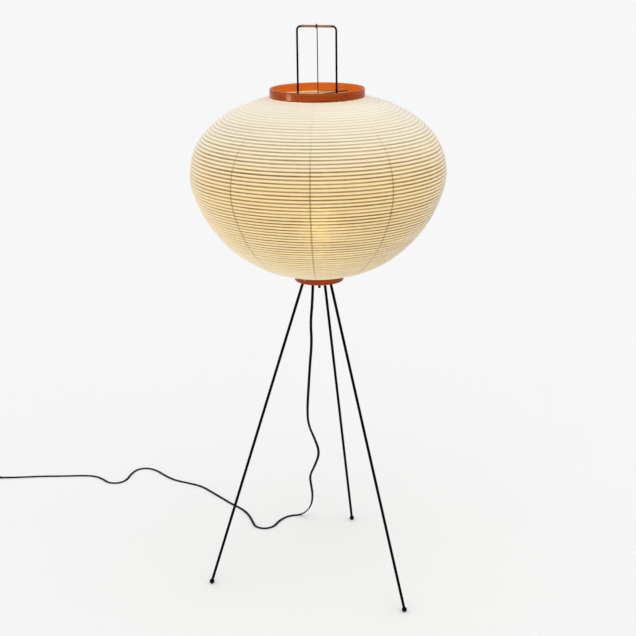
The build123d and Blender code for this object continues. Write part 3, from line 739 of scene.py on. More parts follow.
def twin_section(count=20):
    """The flat twin cord's section: two round cores side by side in one skin, with a waist between."""
    outline = []
    for i in range(count):
        turn = 2 * pi * (i + 0.5) / count
        side = 1 if cos(turn) >= 0 else -1
        across = side * (cord_wide - cord_thick) / 2 + cord_thick / 2 * cos(turn)
        up = cord_thick / 2 * sin(turn)
        outline.append((across, up * (1 - 0.3 * exp(-((across / 0.8) ** 2)))))
    return outline


def lay_flat(line, first_side, twist):
    """The way the cord runs at each point of its line, and the direction of its broad side there.

    The broad side is carried along without turning, plus a twist by height, and lies level on the floor.
    """
    side = first_side.copy()
    ways, sides = [], []
    for i, point in enumerate(line):
        way = (line[min(i + 1, len(line) - 1)] - line[max(i - 1, 0)]).normalized()
        if ways:
            side = ways[-1].rotation_difference(way) @ side
        side = (side - way * side.dot(way)).normalized()
        ways.append(way)
        sides.append(side.copy())
    landing = next((i for i, point in enumerate(line) if point.z < 0.004), 0)
    level = ways[landing].cross(Vector((0, 0, 1))).normalized()
    turn = atan2(sides[landing].cross(level).dot(ways[landing]), sides[landing].dot(level))
    for i, point in enumerate(line):
        share = 1.0 if i >= landing else 1 - point.z / line[0].z
        added = 0 if i >= landing else radians(twist(point.z / mm))
        sides[i] = Matrix.Rotation(turn * share**3 + added, 3, ways[i]) @ sides[i]
    return ways, sides


def twin_cord(name, points, first_side, twist=lambda height: 0.0):
    """A flat twin cord along a route, with one ring of points at each step of its line.

    Gives the cord, its line and its length. Its map runs round the cord and along it, in metres.
    """
    line = route_line(name, points)
    ways, sides = lay_flat(line, first_side, twist)
    section = twin_section()
    count, last = len(section), len(line) - 1
    vertices, faces = [], []
    for point, way, side in zip(line, ways, sides):
        up = way.cross(side)
        vertices += [point + (side * across + up * rise) * mm for across, rise in section]
    for i in range(last):
        for k in range(count):
            after = (k + 1) % count
            faces.append((i * count + k, i * count + after, (i + 1) * count + after, (i + 1) * count + k))
    faces.append(tuple(range(count))[::-1])
    faces.append(tuple(last * count + k for k in range(count)))
    mesh = bpy.data.meshes.new(name)
    mesh.from_pydata(vertices, [], faces)
    lengths = [0.0]
    for before, after in zip(line, line[1:]):
        lengths.append(lengths[-1] + (after - before).length)
    cord_map = mesh.uv_layers.new(name="cord_map")
    for face in mesh.polygons:
        for loop in face.loop_indices:
            vertex = mesh.loops[loop].vertex_index
            closing = face.index % count == count - 1 and vertex % count == 0
            round_it = (count if closing else vertex % count) / count
            cord_map.data[loop].uv = (round_it * 3 * cord_wide * mm, lengths[vertex // count])
    cord = bpy.data.objects.new(name, mesh)
    bpy.context.scene.collection.objects.link(cord)
    take(cord)
    edit_all()
    bpy.ops.mesh.normals_make_consistent(inside=False)
    bpy.ops.object.mode_set(mode="OBJECT")
    smooth(cord, 60)
    return cord, line, lengths[-1]


def hanging_twist(height):
    """How far the hanging cord turns aside on its way down, in degrees."""
    return 38 * exp(-(((height - 330) / 95) ** 2))


def sleeve(name, start, way, length, thick_end, thin_end):
    """A ribbed, tapering sleeve that keeps the cord from a sharp bend where it leaves a piece."""
    outline = [(1.2, 0), (thick_end, 0)]
    ribs = int(length / 2.4)
    for i in range(ribs):
        low = 0.4 + i * (length - 0.8) / ribs
        wide = thick_end + (thin_end - thick_end) * (i + 0.5) / ribs
        outline += [(wide, low), (wide, low + 1.3), (wide - 0.4, low + 1.6), (wide - 0.4, low + 2.1)]
    outline += [(thin_end, length - 0.3), (thin_end - 0.3, length), (1.2, length), (1.2, 0)]
    piece = turned(name, outline, 28, angle=40)
    turn = Vector(way).to_track_quat("Z", "Y").to_matrix().to_4x4()
    piece.data.transform(Matrix.Translation(Vector(start) * mm) @ turn)
    return piece


def cut(piece, cutter):
    """Cuts one piece with another, which is used up."""
    boolean = piece.modifiers.new("cut", "BOOLEAN")
    boolean.operation = "DIFFERENCE"
    boolean.solver = "EXACT"
    boolean.object = cutter
    apply_all(piece)
    bpy.data.objects.remove(cutter)
    return piece


def switch_half(name, low, high, outer, soft):
    """Half of the switch's shell: a block with round corners and a softened outer edge."""
    piece = block(name, (switch_low_x, switch_y - 10, low), (switch_high_x, switch_y + 10, high))
    pick_edges(piece, lambda a, b: abs(a.z - b.z) > mm)
    bpy.ops.mesh.bevel(offset=3 * mm, segments=6, affect="EDGES")
    bpy.ops.object.mode_set(mode="OBJECT")
    pick_edges(piece, lambda a, b: abs(a.z - outer * mm) < 1e-5 and abs(b.z - outer * mm) < 1e-5)
    bpy.ops.mesh.bevel(offset=soft * mm, segments=4, affect="EDGES")
    bpy.ops.object.mode_set(mode="OBJECT")
    return piece


def cord_switch():
    """The two halves of the switch and the key between its window's walls."""
    base = smooth(eased(switch_half("switch_lower_half", 0, 6.5, 0, 0.8), 0.25, 2, 60), 40)
    cover = switch_half("switch_upper_half", 6.5, 15, 15, 1.6)
    middle = (switch_low_x + switch_high_x) / 2
    window = block("window", (middle - 8.5, switch_y - 4.5, 10.2), (middle + 8.5, switch_y + 4.5, 17))
    cover = smooth(eased(cut(cover, window), 0.25, 2, 60), 40)
    key = block("switch_key", (-8, -4, 9.9), (8, 4, 14.9))
    edit_all()
    bpy.ops.mesh.subdivide(number_cuts=9)
    bpy.ops.object.mode_set(mode="OBJECT")
    for vertex in key.data.vertices:
        if vertex.co.z > 14.8 * mm:
            vertex.co.z -= 0.8 * mm * (1 - (vertex.co.x / (8 * mm)) ** 2)
    pin = Matrix.Translation(Vector((middle, switch_y, 11.5)) * mm)
    lift = Matrix.Translation(Vector((0, 0, -11.5)) * mm)
    key.data.transform(pin @ Matrix.Rotation(radians(7), 4, "Y") @ lift)
    smooth(eased(key, 0.4, 2, 60), 50)
    return base, cover, key


def mains_plug():
    """The moulded plug, its nose, and the two flat blades."""
    outline = [(0, 0), (4.3, 0), (4.6, 0.4)]
    for i in range(5):
        low, wide = 0.8 + i * 2.1, 4.7 + 0.27 * i
        outline += [(wide, low), (wide + 0.1, low + 1.2), (wide - 0.3, low + 1.5), (wide - 0.3, low + 2.0)]
    outline += [(6, 12), (6.6, 13.2), (8.4, 15.6), (9.3, 17.6), (9.5, 19.5), (9.5, 36.6)]
    outline += arc(8.5, 37.0, 1.0, 0, 90, 4) + [(8.0, 38), (7.8, 37.7), (0, 37.7)]
    body = turned("plug_moulding", outline, 48, angle=40)
    body.data.transform(Matrix.Translation(Vector((-960, 428, 9.5)) * mm) @ Matrix.Rotation(pi / 2, 4, "Y"))
    blades = []
    for side in (-1, 1):
        y = 428 + side * 12.7 / 2
        blade = block("blade", (-922.4, y - 0.75, 9.5 - 3.15), (-904.5, y + 0.75, 9.5 + 3.15))
        pick_edges(blade, lambda a, b: min(a.x, b.x) > -905 * mm and abs(a.z - b.z) < 1e-6)
        bpy.ops.mesh.bevel(offset=1.2 * mm, segments=3, affect="EDGES")
        bpy.ops.object.mode_set(mode="OBJECT")
        rest()
        bpy.ops.mesh.primitive_cylinder_add(
            vertices=24, radius=1.5 * mm, depth=4 * mm, location=Vector((-908.1, y, 9.5)) * mm, rotation=(pi / 2, 0, 0)
        )
        eye = apply_place(name_it("eye"))
        blades.append(eased(cut(blade, eye), 0.2, 2, 50))
    return body, smooth(join("plug_blade_pair", blades), 40)


def hex_nut(name, across, height, low, x=0.0, y=0.0):
    """A six-sided nut with its corners and the rims of its two faces eased."""
    rest()
    bpy.ops.mesh.primitive_cylinder_add(
        vertices=6, radius=across / 2 / cos(pi / 6) * mm, depth=height * mm,
        location=Vector((x, y, low + height / 2)) * mm,
    )
    piece = apply_place(name_it(name))
    pick_faces(piece, lambda middle, normal: abs(normal.z) > 0.9)
    bpy.ops.mesh.inset(thickness=0.5 * mm, use_individual=True)
    bpy.ops.mesh.inset(thickness=0.15 * mm, depth=-0.25 * mm, use_individual=True)
    bpy.ops.object.mode_set(mode="OBJECT")
    return smooth(eased(piece, 0.3, 2, 40), 40)


def leg_bush(angle):
    """The threaded bush welded on the hub in line with its leg, its foot cut level with the plate."""
    foot, hub = leg_at(angle, foot_height()), leg_at(angle, hub_height)
    way = (hub - foot).normalized()
    piece = wire("leg_bush", [hub - way * 4 * mm, hub + way * leg_grip * mm], [], 5.5, sides=32)
    take(piece)
    edit_all()
    bpy.ops.mesh.bisect(
        plane_co=(0, 0, hub_top * mm), plane_no=(0, 0, 1), use_fill=True, clear_inner=True, clear_outer=False
    )
    bpy.ops.object.mode_set(mode="OBJECT")
    return eased(piece, 0.5, 3, 40)


# Finishes


def node(tree, kind, inputs=None, **settings):
    """Adds a node, with its settings, and gives its inputs their values or links."""
    made = tree.nodes.new(kind)
    for key, value in settings.items():
        setattr(made, key, value)
    for key, value in (inputs or {}).items():
        if isinstance(value, bpy.types.NodeSocket):
            tree.links.new(value, made.inputs[key])
        else:
            made.inputs[key].default_value = value
    return made


def blend_of(tree, share, first, second, how="MIX"):
    """Mixes two colours by a share."""
    made = node(tree, "ShaderNodeMix", {0: share}, data_type="RGBA", blend_type=how)
    for index, value in ((6, first), (7, second)):
        if isinstance(value, bpy.types.NodeSocket):
            tree.links.new(value, made.inputs[index])
        else:
            made.inputs[index].default_value = (*value, 1)
    return made.outputs[2]


def sums(tree, how, first, second=0.0, third=0.0, clamp=False):
    made = node(tree, "ShaderNodeMath", {0: first, 1: second, 2: third}, operation=how, use_clamp=clamp)
    return made.outputs[0]


def fade(tree, value, low, high, to_low=0.0, to_high=1.0, smoothly=True):
    """Carries a value from one range to another, without leaving it."""
    made = node(
        tree, "ShaderNodeMapRange",
        {"Value": value, "From Min": low, "From Max": high, "To Min": to_low, "To Max": to_high},
        interpolation_type="SMOOTHSTEP" if smoothly else "LINEAR",
    )
    return made.outputs["Result"]


def ramp(tree, value, stops):
    """A colour that changes with a value, from (place, colour) pairs."""
    made = node(tree, "ShaderNodeValToRGB", {"Fac": value})
    made.color_ramp.interpolation = "B_SPLINE"
    points = made.color_ramp.elements
    for i, (place, colour) in enumerate(stops):
        point = points[i] if i < 2 else points.new(place)
        point.position = place
        point.color = (*colour, 1)
    return made.outputs["Color"]


def noise(tree, vector, scale, detail=3.0, roughness=0.5, distortion=0.0):
    made = node(
        tree, "ShaderNodeTexNoise",
        {"Vector": vector, "Scale": scale, "Detail": detail, "Roughness": roughness, "Distortion": distortion},
    )
    return made.outputs["Fac"]


def stretched(tree, vector, scale):
    made = node(tree, "ShaderNodeMapping", {"Vector": vector, "Scale": scale})
    return made.outputs["Vector"]


def own_place(tree):
    return node(tree, "ShaderNodeTexCoord").outputs["Object"]


def new_group(name, inputs, outputs):
    """An effect's node group, with its named inputs (name, kind, value) and outputs (name, kind)."""
    group = bpy.data.node_groups.new(name, "ShaderNodeTree")
    for title, kind, value in inputs:
        socket = group.interface.new_socket(title, in_out="INPUT", socket_type=f"NodeSocket{kind}")
        if value is not None:
            socket.default_value = value
    for title, kind in outputs:
        group.interface.new_socket(title, in_out="OUTPUT", socket_type=f"NodeSocket{kind}")
    return group, group.nodes.new("NodeGroupInput").outputs, group.nodes.new("NodeGroupOutput").inputs


def put_out(group, socket, target):
    group.links.new(socket, target)


def surface_grain_group():
    """The fine unevenness of paint or moulded plastic, and slow patches of more and less shine."""
    group, given, wanted = new_group(
        "surface grain",
        [("Place", "Vector", None), ("Grains per metre", "Float", 900.0), ("Patches per metre", "Float", 14.0)],
        [("Height", "Float"), ("Patches", "Float")],
    )
    grain = noise(group, given["Place"], given["Grains per metre"], 2.0, 0.6)
    patches = noise(group, given["Place"], given["Patches per metre"], 3.0, 0.55)
    put_out(group, grain, wanted["Height"])
    put_out(group, fade(group, patches, 0.3, 0.7), wanted["Patches"])
    return group


def worn_edges_group():
    """Where handling has rubbed the edges: a mask from how sharply the surface turns."""
    group, given, wanted = new_group(
        "worn edges",
        [("Place", "Vector", None), ("Colour", "Color", None), ("Worn colour", "Color", None), ("Amount", "Float", 0.5)],
        [("Colour", "Color"), ("Mask", "Float")],
    )
    turning = group.nodes.new("ShaderNodeNewGeometry").outputs["Pointiness"]
    rubbed = fade(group, turning, 0.52, 0.62)
    broken = fade(group, noise(group, given["Place"], 160.0, 4.0, 0.65), 0.42, 0.68)
    mask = sums(group, "MULTIPLY", sums(group, "MULTIPLY", rubbed, broken), given["Amount"], clamp=True)
    put_out(group, blend_of(group, mask, given["Colour"], given["Worn colour"]), wanted["Colour"])
    put_out(group, mask, wanted["Mask"])
    return group


def settled_dust_group():
    """A little dust on what faces up, in uneven patches."""
    group, given, wanted = new_group(
        "settled dust",
        [("Place", "Vector", None), ("Colour", "Color", None), ("Dust colour", "Color", None), ("Amount", "Float", 0.1)],
        [("Colour", "Color"), ("Mask", "Float")],
    )
    normal = group.nodes.new("ShaderNodeNewGeometry").outputs["Normal"]
    up = node(group, "ShaderNodeSeparateXYZ", {"Vector": normal}).outputs["Z"]
    lying = fade(group, up, 0.35, 0.95)
    broken = fade(group, noise(group, given["Place"], 70.0, 4.0, 0.6), 0.35, 0.75)
    mask = sums(group, "MULTIPLY", sums(group, "MULTIPLY", lying, broken), given["Amount"], clamp=True)
    put_out(group, blend_of(group, mask, given["Colour"], given["Dust colour"]), wanted["Colour"])
    put_out(group, mask, wanted["Mask"])
    return group


def drawn_grain_group():
    """The grain of wood, bamboo or cane: long streaks with fine pores between them."""
    group, given, wanted = new_group(
        "drawn grain",
        [
            ("Place", "Vector", None), ("Light", "Color", None), ("Middle", "Color", None), ("Dark", "Color", None),
            ("Pores", "Float", 0.4),
        ],
        [("Colour", "Color"), ("Height", "Float")],
    )
    broad = noise(group, given["Place"], 1.0, 3.0, 0.55, 0.4)
    fine = noise(group, stretched(group, given["Place"], (2.5, 2.5, 5.0)), 1.0, 4.0, 0.7)
    half = blend_of(group, fade(group, broad, 0.3, 0.55), given["Dark"], given["Middle"])
    whole = blend_of(group, fade(group, broad, 0.5, 0.75), half, given["Light"])
    pores = sums(group, "MULTIPLY", fade(group, fine, 0.56, 0.7), given["Pores"])
    put_out(group, blend_of(group, pores, whole, given["Dark"]), wanted["Colour"])
    put_out(group, sums(group, "SUBTRACT", broad, pores), wanted["Height"])
    return group


groups = {
    "surface grain": surface_grain_group(),
    "worn edges": worn_edges_group(),
    "settled dust": settled_dust_group(),
    "drawn grain": drawn_grain_group(),
}


def use(tree, name, inputs):
    """Places a group in a material with its own values."""
    made = tree.nodes.new("ShaderNodeGroup")
    made.node_tree = groups[name]
    for key, value in inputs.items():
        if isinstance(value, bpy.types.NodeSocket):
            tree.links.new(value, made.inputs[key])
        elif isinstance(value, tuple) and len(value) == 3:
            made.inputs[key].default_value = (*value, 1)
        else:
            made.inputs[key].default_value = value
    return made.outputs


def new_finish(name):
    """An empty material: its tree, and its shader joined to the output."""
    material = bpy.data.materials.new(name)
    material.use_nodes = True
    tree = material.node_tree
    tree.nodes.clear()
    shader = tree.nodes.new("ShaderNodeBsdfPrincipled")
    output = tree.nodes.new("ShaderNodeOutputMaterial")
    tree.links.new(shader.outputs["BSDF"], output.inputs["Surface"])
    return material, tree, shader


def raised(tree, shader, height, distance, strength=1.0, socket="Normal"):
    bump = node(tree, "ShaderNodeBump", {"Height": height, "Distance": distance, "Strength": strength})
    tree.links.new(bump.outputs["Normal"], shader.inputs[socket])


def coated(
    name, colour, worn, roughness, grains=900.0, lift=0.03, wear=0.5, dust=0.12, coat=0.0, metallic=0.0, shine=0.5
):
    """Paint, plastic or metal with its own grain, rubbed edges and a little dust."""
    material, tree, shader = new_finish(name)
    place = own_place(tree)
    grain = use(tree, "surface grain", {"Place": place, "Grains per metre": grains})
    edges = use(tree, "worn edges", {"Place": place, "Colour": colour, "Worn colour": worn, "Amount": wear})
    dusty = use(tree, "settled dust", {
        "Place": place, "Colour": edges["Colour"], "Dust colour": (0.32, 0.3, 0.27), "Amount": dust,
    })
    tree.links.new(dusty["Colour"], shader.inputs["Base Color"])
    polished = sums(tree, "MULTIPLY_ADD", grain["Patches"], 0.12, roughness)
    rougher = sums(tree, "MULTIPLY_ADD", dusty["Mask"], 0.4, polished, clamp=True)
    tree.links.new(rougher, shader.inputs["Roughness"])
    shader.inputs["Metallic"].default_value = metallic
    shader.inputs["Specular IOR Level"].default_value = shine
    shader.inputs["Coat Weight"].default_value = coat
    shader.inputs["Coat Roughness"].default_value = 0.15
    raised(tree, shader, grain["Height"], lift * mm)
    return material


def ring_wood():
    """Reddish brown lacquer over bent wood: its grain runs round the ring, and its inward faces are painted paler, a
    painted glow of the lamp's light on them.
    """
    material, tree, shader = new_finish("ring_lacquer")
    place = own_place(tree)
    parts = node(tree, "ShaderNodeSeparateXYZ", {"Vector": place}).outputs
    flat = node(tree, "ShaderNodeCombineXYZ", {"X": parts["X"], "Y": parts["Y"]}).outputs["Vector"]
    radius = node(tree, "ShaderNodeVectorMath", {0: flat}, operation="LENGTH").outputs["Value"]
    depth = sums(tree, "ADD", parts["Z"], radius)
    along = node(
        tree, "ShaderNodeCombineXYZ",
        {
            "X": sums(tree, "MULTIPLY", parts["X"], 14.0), "Y": sums(tree, "MULTIPLY", parts["Y"], 14.0),
            "Z": sums(tree, "MULTIPLY", depth, 420.0),
        },
    ).outputs["Vector"]
    grain = use(tree, "drawn grain", {
        "Place": along, "Light": (0.48, 0.08, 0.004), "Middle": (0.35, 0.05, 0.002),
        "Dark": (0.2, 0.024, 0.001), "Pores": 0.3,
    })
    outwards = node(tree, "ShaderNodeVectorMath", {0: flat}, operation="NORMALIZE").outputs["Vector"]
    normal = tree.nodes.new("ShaderNodeNewGeometry").outputs["Normal"]
    facing = node(tree, "ShaderNodeVectorMath", {0: outwards, 1: normal}, operation="DOT_PRODUCT").outputs["Value"]
    # The faces that look in towards the axis are painted paler, as painted light from the lamp inside.
    inside = fade(tree, facing, -0.3, -0.8)
    inner_faces_lamplit = blend_of(tree, sums(tree, "MULTIPLY", inside, 0.72), grain["Colour"], (0.92, 0.21, 0.022))
    edges = use(tree, "worn edges", {
        "Place": place, "Colour": inner_faces_lamplit, "Worn colour": (0.72, 0.18, 0.02), "Amount": 0.6,
    })
    tree.links.new(edges["Colour"], shader.inputs["Base Color"])
    shine = use(tree, "surface grain", {"Place": place, "Grains per metre": 260.0, "Patches per metre": 30.0})
    tree.links.new(sums(tree, "MULTIPLY_ADD", shine["Patches"], 0.14, 0.24), shader.inputs["Roughness"])
    shader.inputs["Specular IOR Level"].default_value = 0.08
    shader.inputs["Coat Weight"].default_value = 0.12
    shader.inputs["Coat Roughness"].default_value = 0.08
    raised(tree, shader, grain["Height"], 0.05 * mm)
    return material


def bamboo():
    """Split bamboo, its fibres along the strip."""
    material, tree, shader = new_finish("bamboo")
    place = own_place(tree)
    grain = use(tree, "drawn grain", {
        "Place": stretched(tree, place, (60, 60, 900)), "Light": (0.62, 0.43, 0.2), "Middle": (0.5, 0.31, 0.13),
        "Dark": (0.27, 0.14, 0.05), "Pores": 0.5,
    })
    tree.links.new(grain["Colour"], shader.inputs["Base Color"])
    shader.inputs["Roughness"].default_value = 0.55
    raised(tree, shader, grain["Height"], 0.08 * mm)
    return material


def cane():
    """Cane strip round the crossbar, its fibres along the strip, its edges rubbed paler."""
    material, tree, shader = new_finish("cane_strip")
    place = own_place(tree)
    lying = node(tree, "ShaderNodeMapping", {"Vector": place, "Rotation": (0, 0, radians(-tripod_turn))}).outputs[0]
    grain = use(tree, "drawn grain", {
        "Place": stretched(tree, lying, (900, 160, 160)), "Light": (0.5, 0.27, 0.15), "Middle": (0.32, 0.15, 0.07),
        "Dark": (0.1, 0.034, 0.012), "Pores": 0.6,
    })
    edges = use(tree, "worn edges", {
        "Place": place, "Colour": grain["Colour"], "Worn colour": (0.5, 0.3, 0.17), "Amount": 0.5,
    })
    tree.links.new(edges["Colour"], shader.inputs["Base Color"])
    patches = use(tree, "surface grain", {"Place": place, "Grains per metre": 700.0, "Patches per metre": 90.0})
    tree.links.new(sums(tree, "MULTIPLY_ADD", patches["Patches"], 0.2, 0.34), shader.inputs["Roughness"])
    raised(tree, shader, grain["Height"], 0.1 * mm)
    return material


def lantern_paper():
    """Hand-made paper over the rib, with the lamp's light from inside painted into it: painted paler at the top and
    warmer below, with a painted glow, and the rib painted dark as its shadow.

    shade_map runs round the shade along its first direction and up it along its second.
    """
    material, tree, shader = new_finish("lantern_paper")
    shade_map = node(tree, "ShaderNodeUVMap", uv_map="shade_map").outputs["UV"]
    parts = node(tree, "ShaderNodeSeparateXYZ", {"Vector": shade_map}).outputs
    across, up = parts["X"], parts["Y"]
    unrolled = stretched(tree, shade_map, (1.66, 0.51, 1))

    # The rib's painted shadow on the paper, by its distance from the nearest turn, a little uneven in its width and its
    # line, with darker dashes along it
    wander = noise(tree, stretched(tree, shade_map, (34, 72, 1)), 1.0, 2.0)
    turns = sums(tree, "MULTIPLY", up, float(rib_count))
    off_rib = sums(tree, "PINGPONG", sums(tree, "MULTIPLY_ADD", wander, 0.12, sums(tree, "SUBTRACT", turns, 0.06)), 0.5)
    ends = sums(tree, "MULTIPLY", fade(tree, up, 0.004, 0.018), fade(tree, up, 0.982, 0.996, 1.0, 0.0))
    bolder = fade(tree, noise(tree, stretched(tree, shade_map, (5, 40, 1)), 1.0, 3.0, 0.6), 0.3, 0.7, 0.66, 1.0)
    rib = sums(tree, "MULTIPLY", fade(tree, off_rib, 0.12, 0.32, 1.0, 0.0), sums(tree, "MULTIPLY", ends, bolder))
    rib_dash_noise = fade(tree, noise(tree, stretched(tree, shade_map, (420, 72, 1)), 1.0, 2.0, 0.7), 0.6, 0.72)
    dashes = sums(tree, "MULTIPLY", rib, rib_dash_noise)

    # Colours up the shade, between the turns and on them, as painted light: paler at the top and warmer below where the
    # lamp inside lights the paper, and on the turns the rib's painted shadow, faint near the top
    between = ramp(tree, up, [
        (0.0, (0.94, 0.8, 0.5)), (0.2, (0.97, 0.82, 0.5)), (0.42, (0.99, 0.765, 0.36)), (0.62, (1.0, 0.77, 0.38)),
        (0.7, (0.98, 0.82, 0.53)), (0.78, (0.96, 0.88, 0.71)), (1.0, (0.93, 0.88, 0.75)),
    ])
    rib_painted_shadow = ramp(tree, up, [
        (0.0, (0.7, 0.5, 0.24)), (0.16, (0.54, 0.37, 0.14)), (0.28, (0.34, 0.2, 0.04)), (0.38, (0.19, 0.095, 0.008)),
        (0.62, (0.15, 0.07, 0.004)), (0.69, (0.22, 0.125, 0.02)), (0.76, (0.37, 0.26, 0.09)),
        (0.84, (0.54, 0.45, 0.27)), (0.92, (0.74, 0.69, 0.53)), (1.0, (0.8, 0.76, 0.63)),
    ])
    striped = blend_of(tree, rib, between, rib_painted_shadow)
    dash_share = fade(tree, up, 0.68, 0.86, 0.5, 0.1)
    dashed = blend_of(tree, sums(tree, "MULTIPLY", dashes, dash_share), striped, (0.2, 0.105, 0.03))

    # The overlaps of the paper's strips, painted darker as the shade of the double paper in the light from inside,
    # fading out towards the top, and its cloudy pulp and long fibres
    off_seam = sums(tree, "PINGPONG", sums(tree, "MULTIPLY", across, float(gore_count)), 0.5)
    seam = fade(tree, off_seam, 0.006, 0.013, 1.0, 0.0)
    seam_shade = sums(tree, "MULTIPLY", seam, fade(tree, up, 0.55, 0.85, 0.68, 0.08))
    overlapped = blend_of(tree, seam_shade, dashed, (0.2, 0.115, 0.015))
    pulp = noise(tree, unrolled, 60.0, 4.0, 0.6)
    clouded = blend_of(tree, fade(tree, pulp, 0.35, 0.7, 0.0, 0.1), overlapped, (0.99, 0.9, 0.7))
    strands = noise(tree, stretched(tree, unrolled, (1, 1.7, 1)), 130.0, 3.0, 0.5, 2.2)
    fibre = fade(tree, sums(tree, "ABSOLUTE", sums(tree, "SUBTRACT", strands, 0.5)), 0.0, 0.014, 1.0, 0.0)
    fibrous = blend_of(tree, sums(tree, "MULTIPLY", fibre, 0.2), clouded, (0.97, 0.9, 0.74))

    # The paper's colour is its base colour and also its emission: a painted glow of the lamp's light through it.
    tree.links.new(fibrous, shader.inputs["Base Color"])
    tree.links.new(fibrous, shader.inputs["Emission Color"])
    shader.inputs["Emission Strength"].default_value = 0.12
    shader.inputs["Transmission Weight"].default_value = 0.2
    shader.inputs["Roughness"].default_value = 0.3
    shader.inputs["Specular IOR Level"].default_value = 0.05
    shader.inputs["Sheen Weight"].default_value = 1.0
    shader.inputs["Sheen Roughness"].default_value = 0.4
    shader.inputs["Sheen Tint"].default_value = (1.0, 0.93, 0.8, 1)
    height = sums(tree, "ADD", sums(tree, "MULTIPLY", fibre, 0.5), sums(tree, "ADD", pulp, seam))
    raised(tree, shader, height, 0.12 * mm)
    return material


def lit_glass():
    """Frosted glass with the lamp burning behind it, paler where it is thin."""
    material, tree, shader = new_finish("frosted_glass")
    place = own_place(tree)
    frost = use(tree, "surface grain", {"Place": place, "Grains per metre": 2500.0, "Patches per metre": 40.0})
    glow = blend_of(tree, frost["Patches"], (1.0, 0.88, 0.66), (1.0, 0.93, 0.78))
    tree.links.new(glow, shader.inputs["Base Color"])
    tree.links.new(glow, shader.inputs["Emission Color"])
    shader.inputs["Emission Strength"].default_value = 30.0
    shader.inputs["Roughness"].default_value = 0.5
    raised(tree, shader, frost["Height"], 0.02 * mm)
    return material


def cord_vinyl():
    """Black vinyl, slightly glossy, with fine drawn lines along the cord."""
    material, tree, shader = new_finish("cord_vinyl")
    cord_map = node(tree, "ShaderNodeUVMap", uv_map="cord_map").outputs["UV"]
    lines = noise(tree, stretched(tree, cord_map, (2600, 25, 1)), 1.0, 2.0)
    scuffs = fade(tree, noise(tree, stretched(tree, cord_map, (300, 60, 1)), 1.0, 4.0, 0.65), 0.5, 0.75)
    tree.links.new(blend_of(tree, scuffs, (0.0015, 0.0015, 0.0016), (0.006, 0.006, 0.0065)), shader.inputs["Base Color"])
    tree.links.new(sums(tree, "MULTIPLY_ADD", scuffs, 0.2, 0.36), shader.inputs["Roughness"])
    shader.inputs["Specular IOR Level"].default_value = 0.06
    raised(tree, shader, lines, 0.03 * mm)
    return material


def make_finishes():
    black = (0.0012, 0.0012, 0.0013)
    return {
        "frame_black": coated("black_enamel", black, (0.01, 0.01, 0.0105), 0.34, 700, 0.02, 0.4, 0.008, 0, 0, 0.03),
        "foot_rubber": coated("foot_rubber", black, (0.01, 0.01, 0.01), 0.6, 1400, 0.03, 0.4, 0.012, 0, 0, 0.06),
        "steel": coated("zinc_steel", (0.5, 0.5, 0.49), (0.72, 0.71, 0.69), 0.3, 1200, 0.02, 0.5, 0.15, 0, 1.0),
        "hanger_steel": coated(
            "hanger_steel", (0.008, 0.008, 0.0085), (0.06, 0.06, 0.06), 0.4, 900, 0.02, 0.5, 0.03, 0, 0.0, 0.1
        ),
        "cane": cane(),
        "ring_lacquer": ring_wood(),
        "shade_paper": lantern_paper(),
        "bamboo": bamboo(),
        "holder_black": coated("holder_bakelite", (0.009, 0.008, 0.008), (0.03, 0.027, 0.025), 0.3, 1500, 0.02, 0.4, 0.15, 0.2),
        "porcelain": coated("porcelain", (0.78, 0.76, 0.71), (0.85, 0.84, 0.8), 0.18, 500, 0.01, 0.3, 0.1, 0.6),
        "brass": coated("brass", (0.62, 0.42, 0.17), (0.8, 0.6, 0.3), 0.28, 1300, 0.02, 0.5, 0.1, 0, 1.0),
        "bulb_metal": coated("bulb_base_metal", (0.66, 0.65, 0.62), (0.8, 0.79, 0.77), 0.25, 1600, 0.01, 0.5, 0.05, 0, 1.0),
        "bulb_glass": lit_glass(),
        "cord_black": cord_vinyl(),
        "switch_black": coated("switch_plastic", (0.007, 0.007, 0.0075), (0.03, 0.03, 0.031), 0.4, 2200, 0.05, 0.4, 0.12),
        "rocker_black": coated("key_plastic", (0.01, 0.01, 0.0105), (0.04, 0.04, 0.041), 0.28, 2600, 0.015, 0.5, 0.1),
        "plug_black": coated("plug_vinyl", (0.008, 0.008, 0.0085), (0.03, 0.03, 0.031), 0.46, 2000, 0.04, 0.4, 0.12),
    }


finishes = make_finishes()


def paint(piece, finish):
    """Gives a piece its finish, in every slot that it has."""
    if not piece.data.materials:
        piece.data.materials.append(finishes[finish])
    for i in range(len(piece.data.materials)):
        piece.data.materials[i] = finishes[finish]
    for place in piece.material_slots:
        place.material = finishes[finish]


def fit(piece, body, finish, *stands_for):
    """A finished piece: what it rides on, its finish and the plain solids that it stands for."""
    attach(piece, body)
    paint(piece, finish)
    if stands_for:
        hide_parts(*stands_for)
    return piece


# The lamp, piece by piece

for rod, angle_name in zip(leg_rods(), ("back", "left", "right")):
    fit(rod, "lamp", "frame_black", f"leg_{angle_name}")
fit(ball_feet(), "lamp", "foot_rubber", "ball_feet")
fit(hub_disc(), "lamp", "frame_black", "hub_plate")
fit(smooth(join("leg_bushes", [leg_bush(angle) for angle in leg_angles()]), 40), "lamp", "frame_black", "leg_sockets")
fit(threaded_stud(), "lamp", "frame_black", "centre_stud")
fit(hex_nut("stud_hex_nut", 10, 5, hub_height - 5), "lamp", "frame_black", "stud_nut")
nuts = [
    hex_nut("frame_hex_nut", 7, 3.2, low, place.x / mm, place.y / mm)
    for place in handle_places() for low in (hub_height - 3.2, hub_top)
]
fit(join("frame_hex_nuts", nuts), "lamp", "frame_black", "frame_nuts")
fit(cord_bush(), "lamp", "cord_black", "cord_grommet")

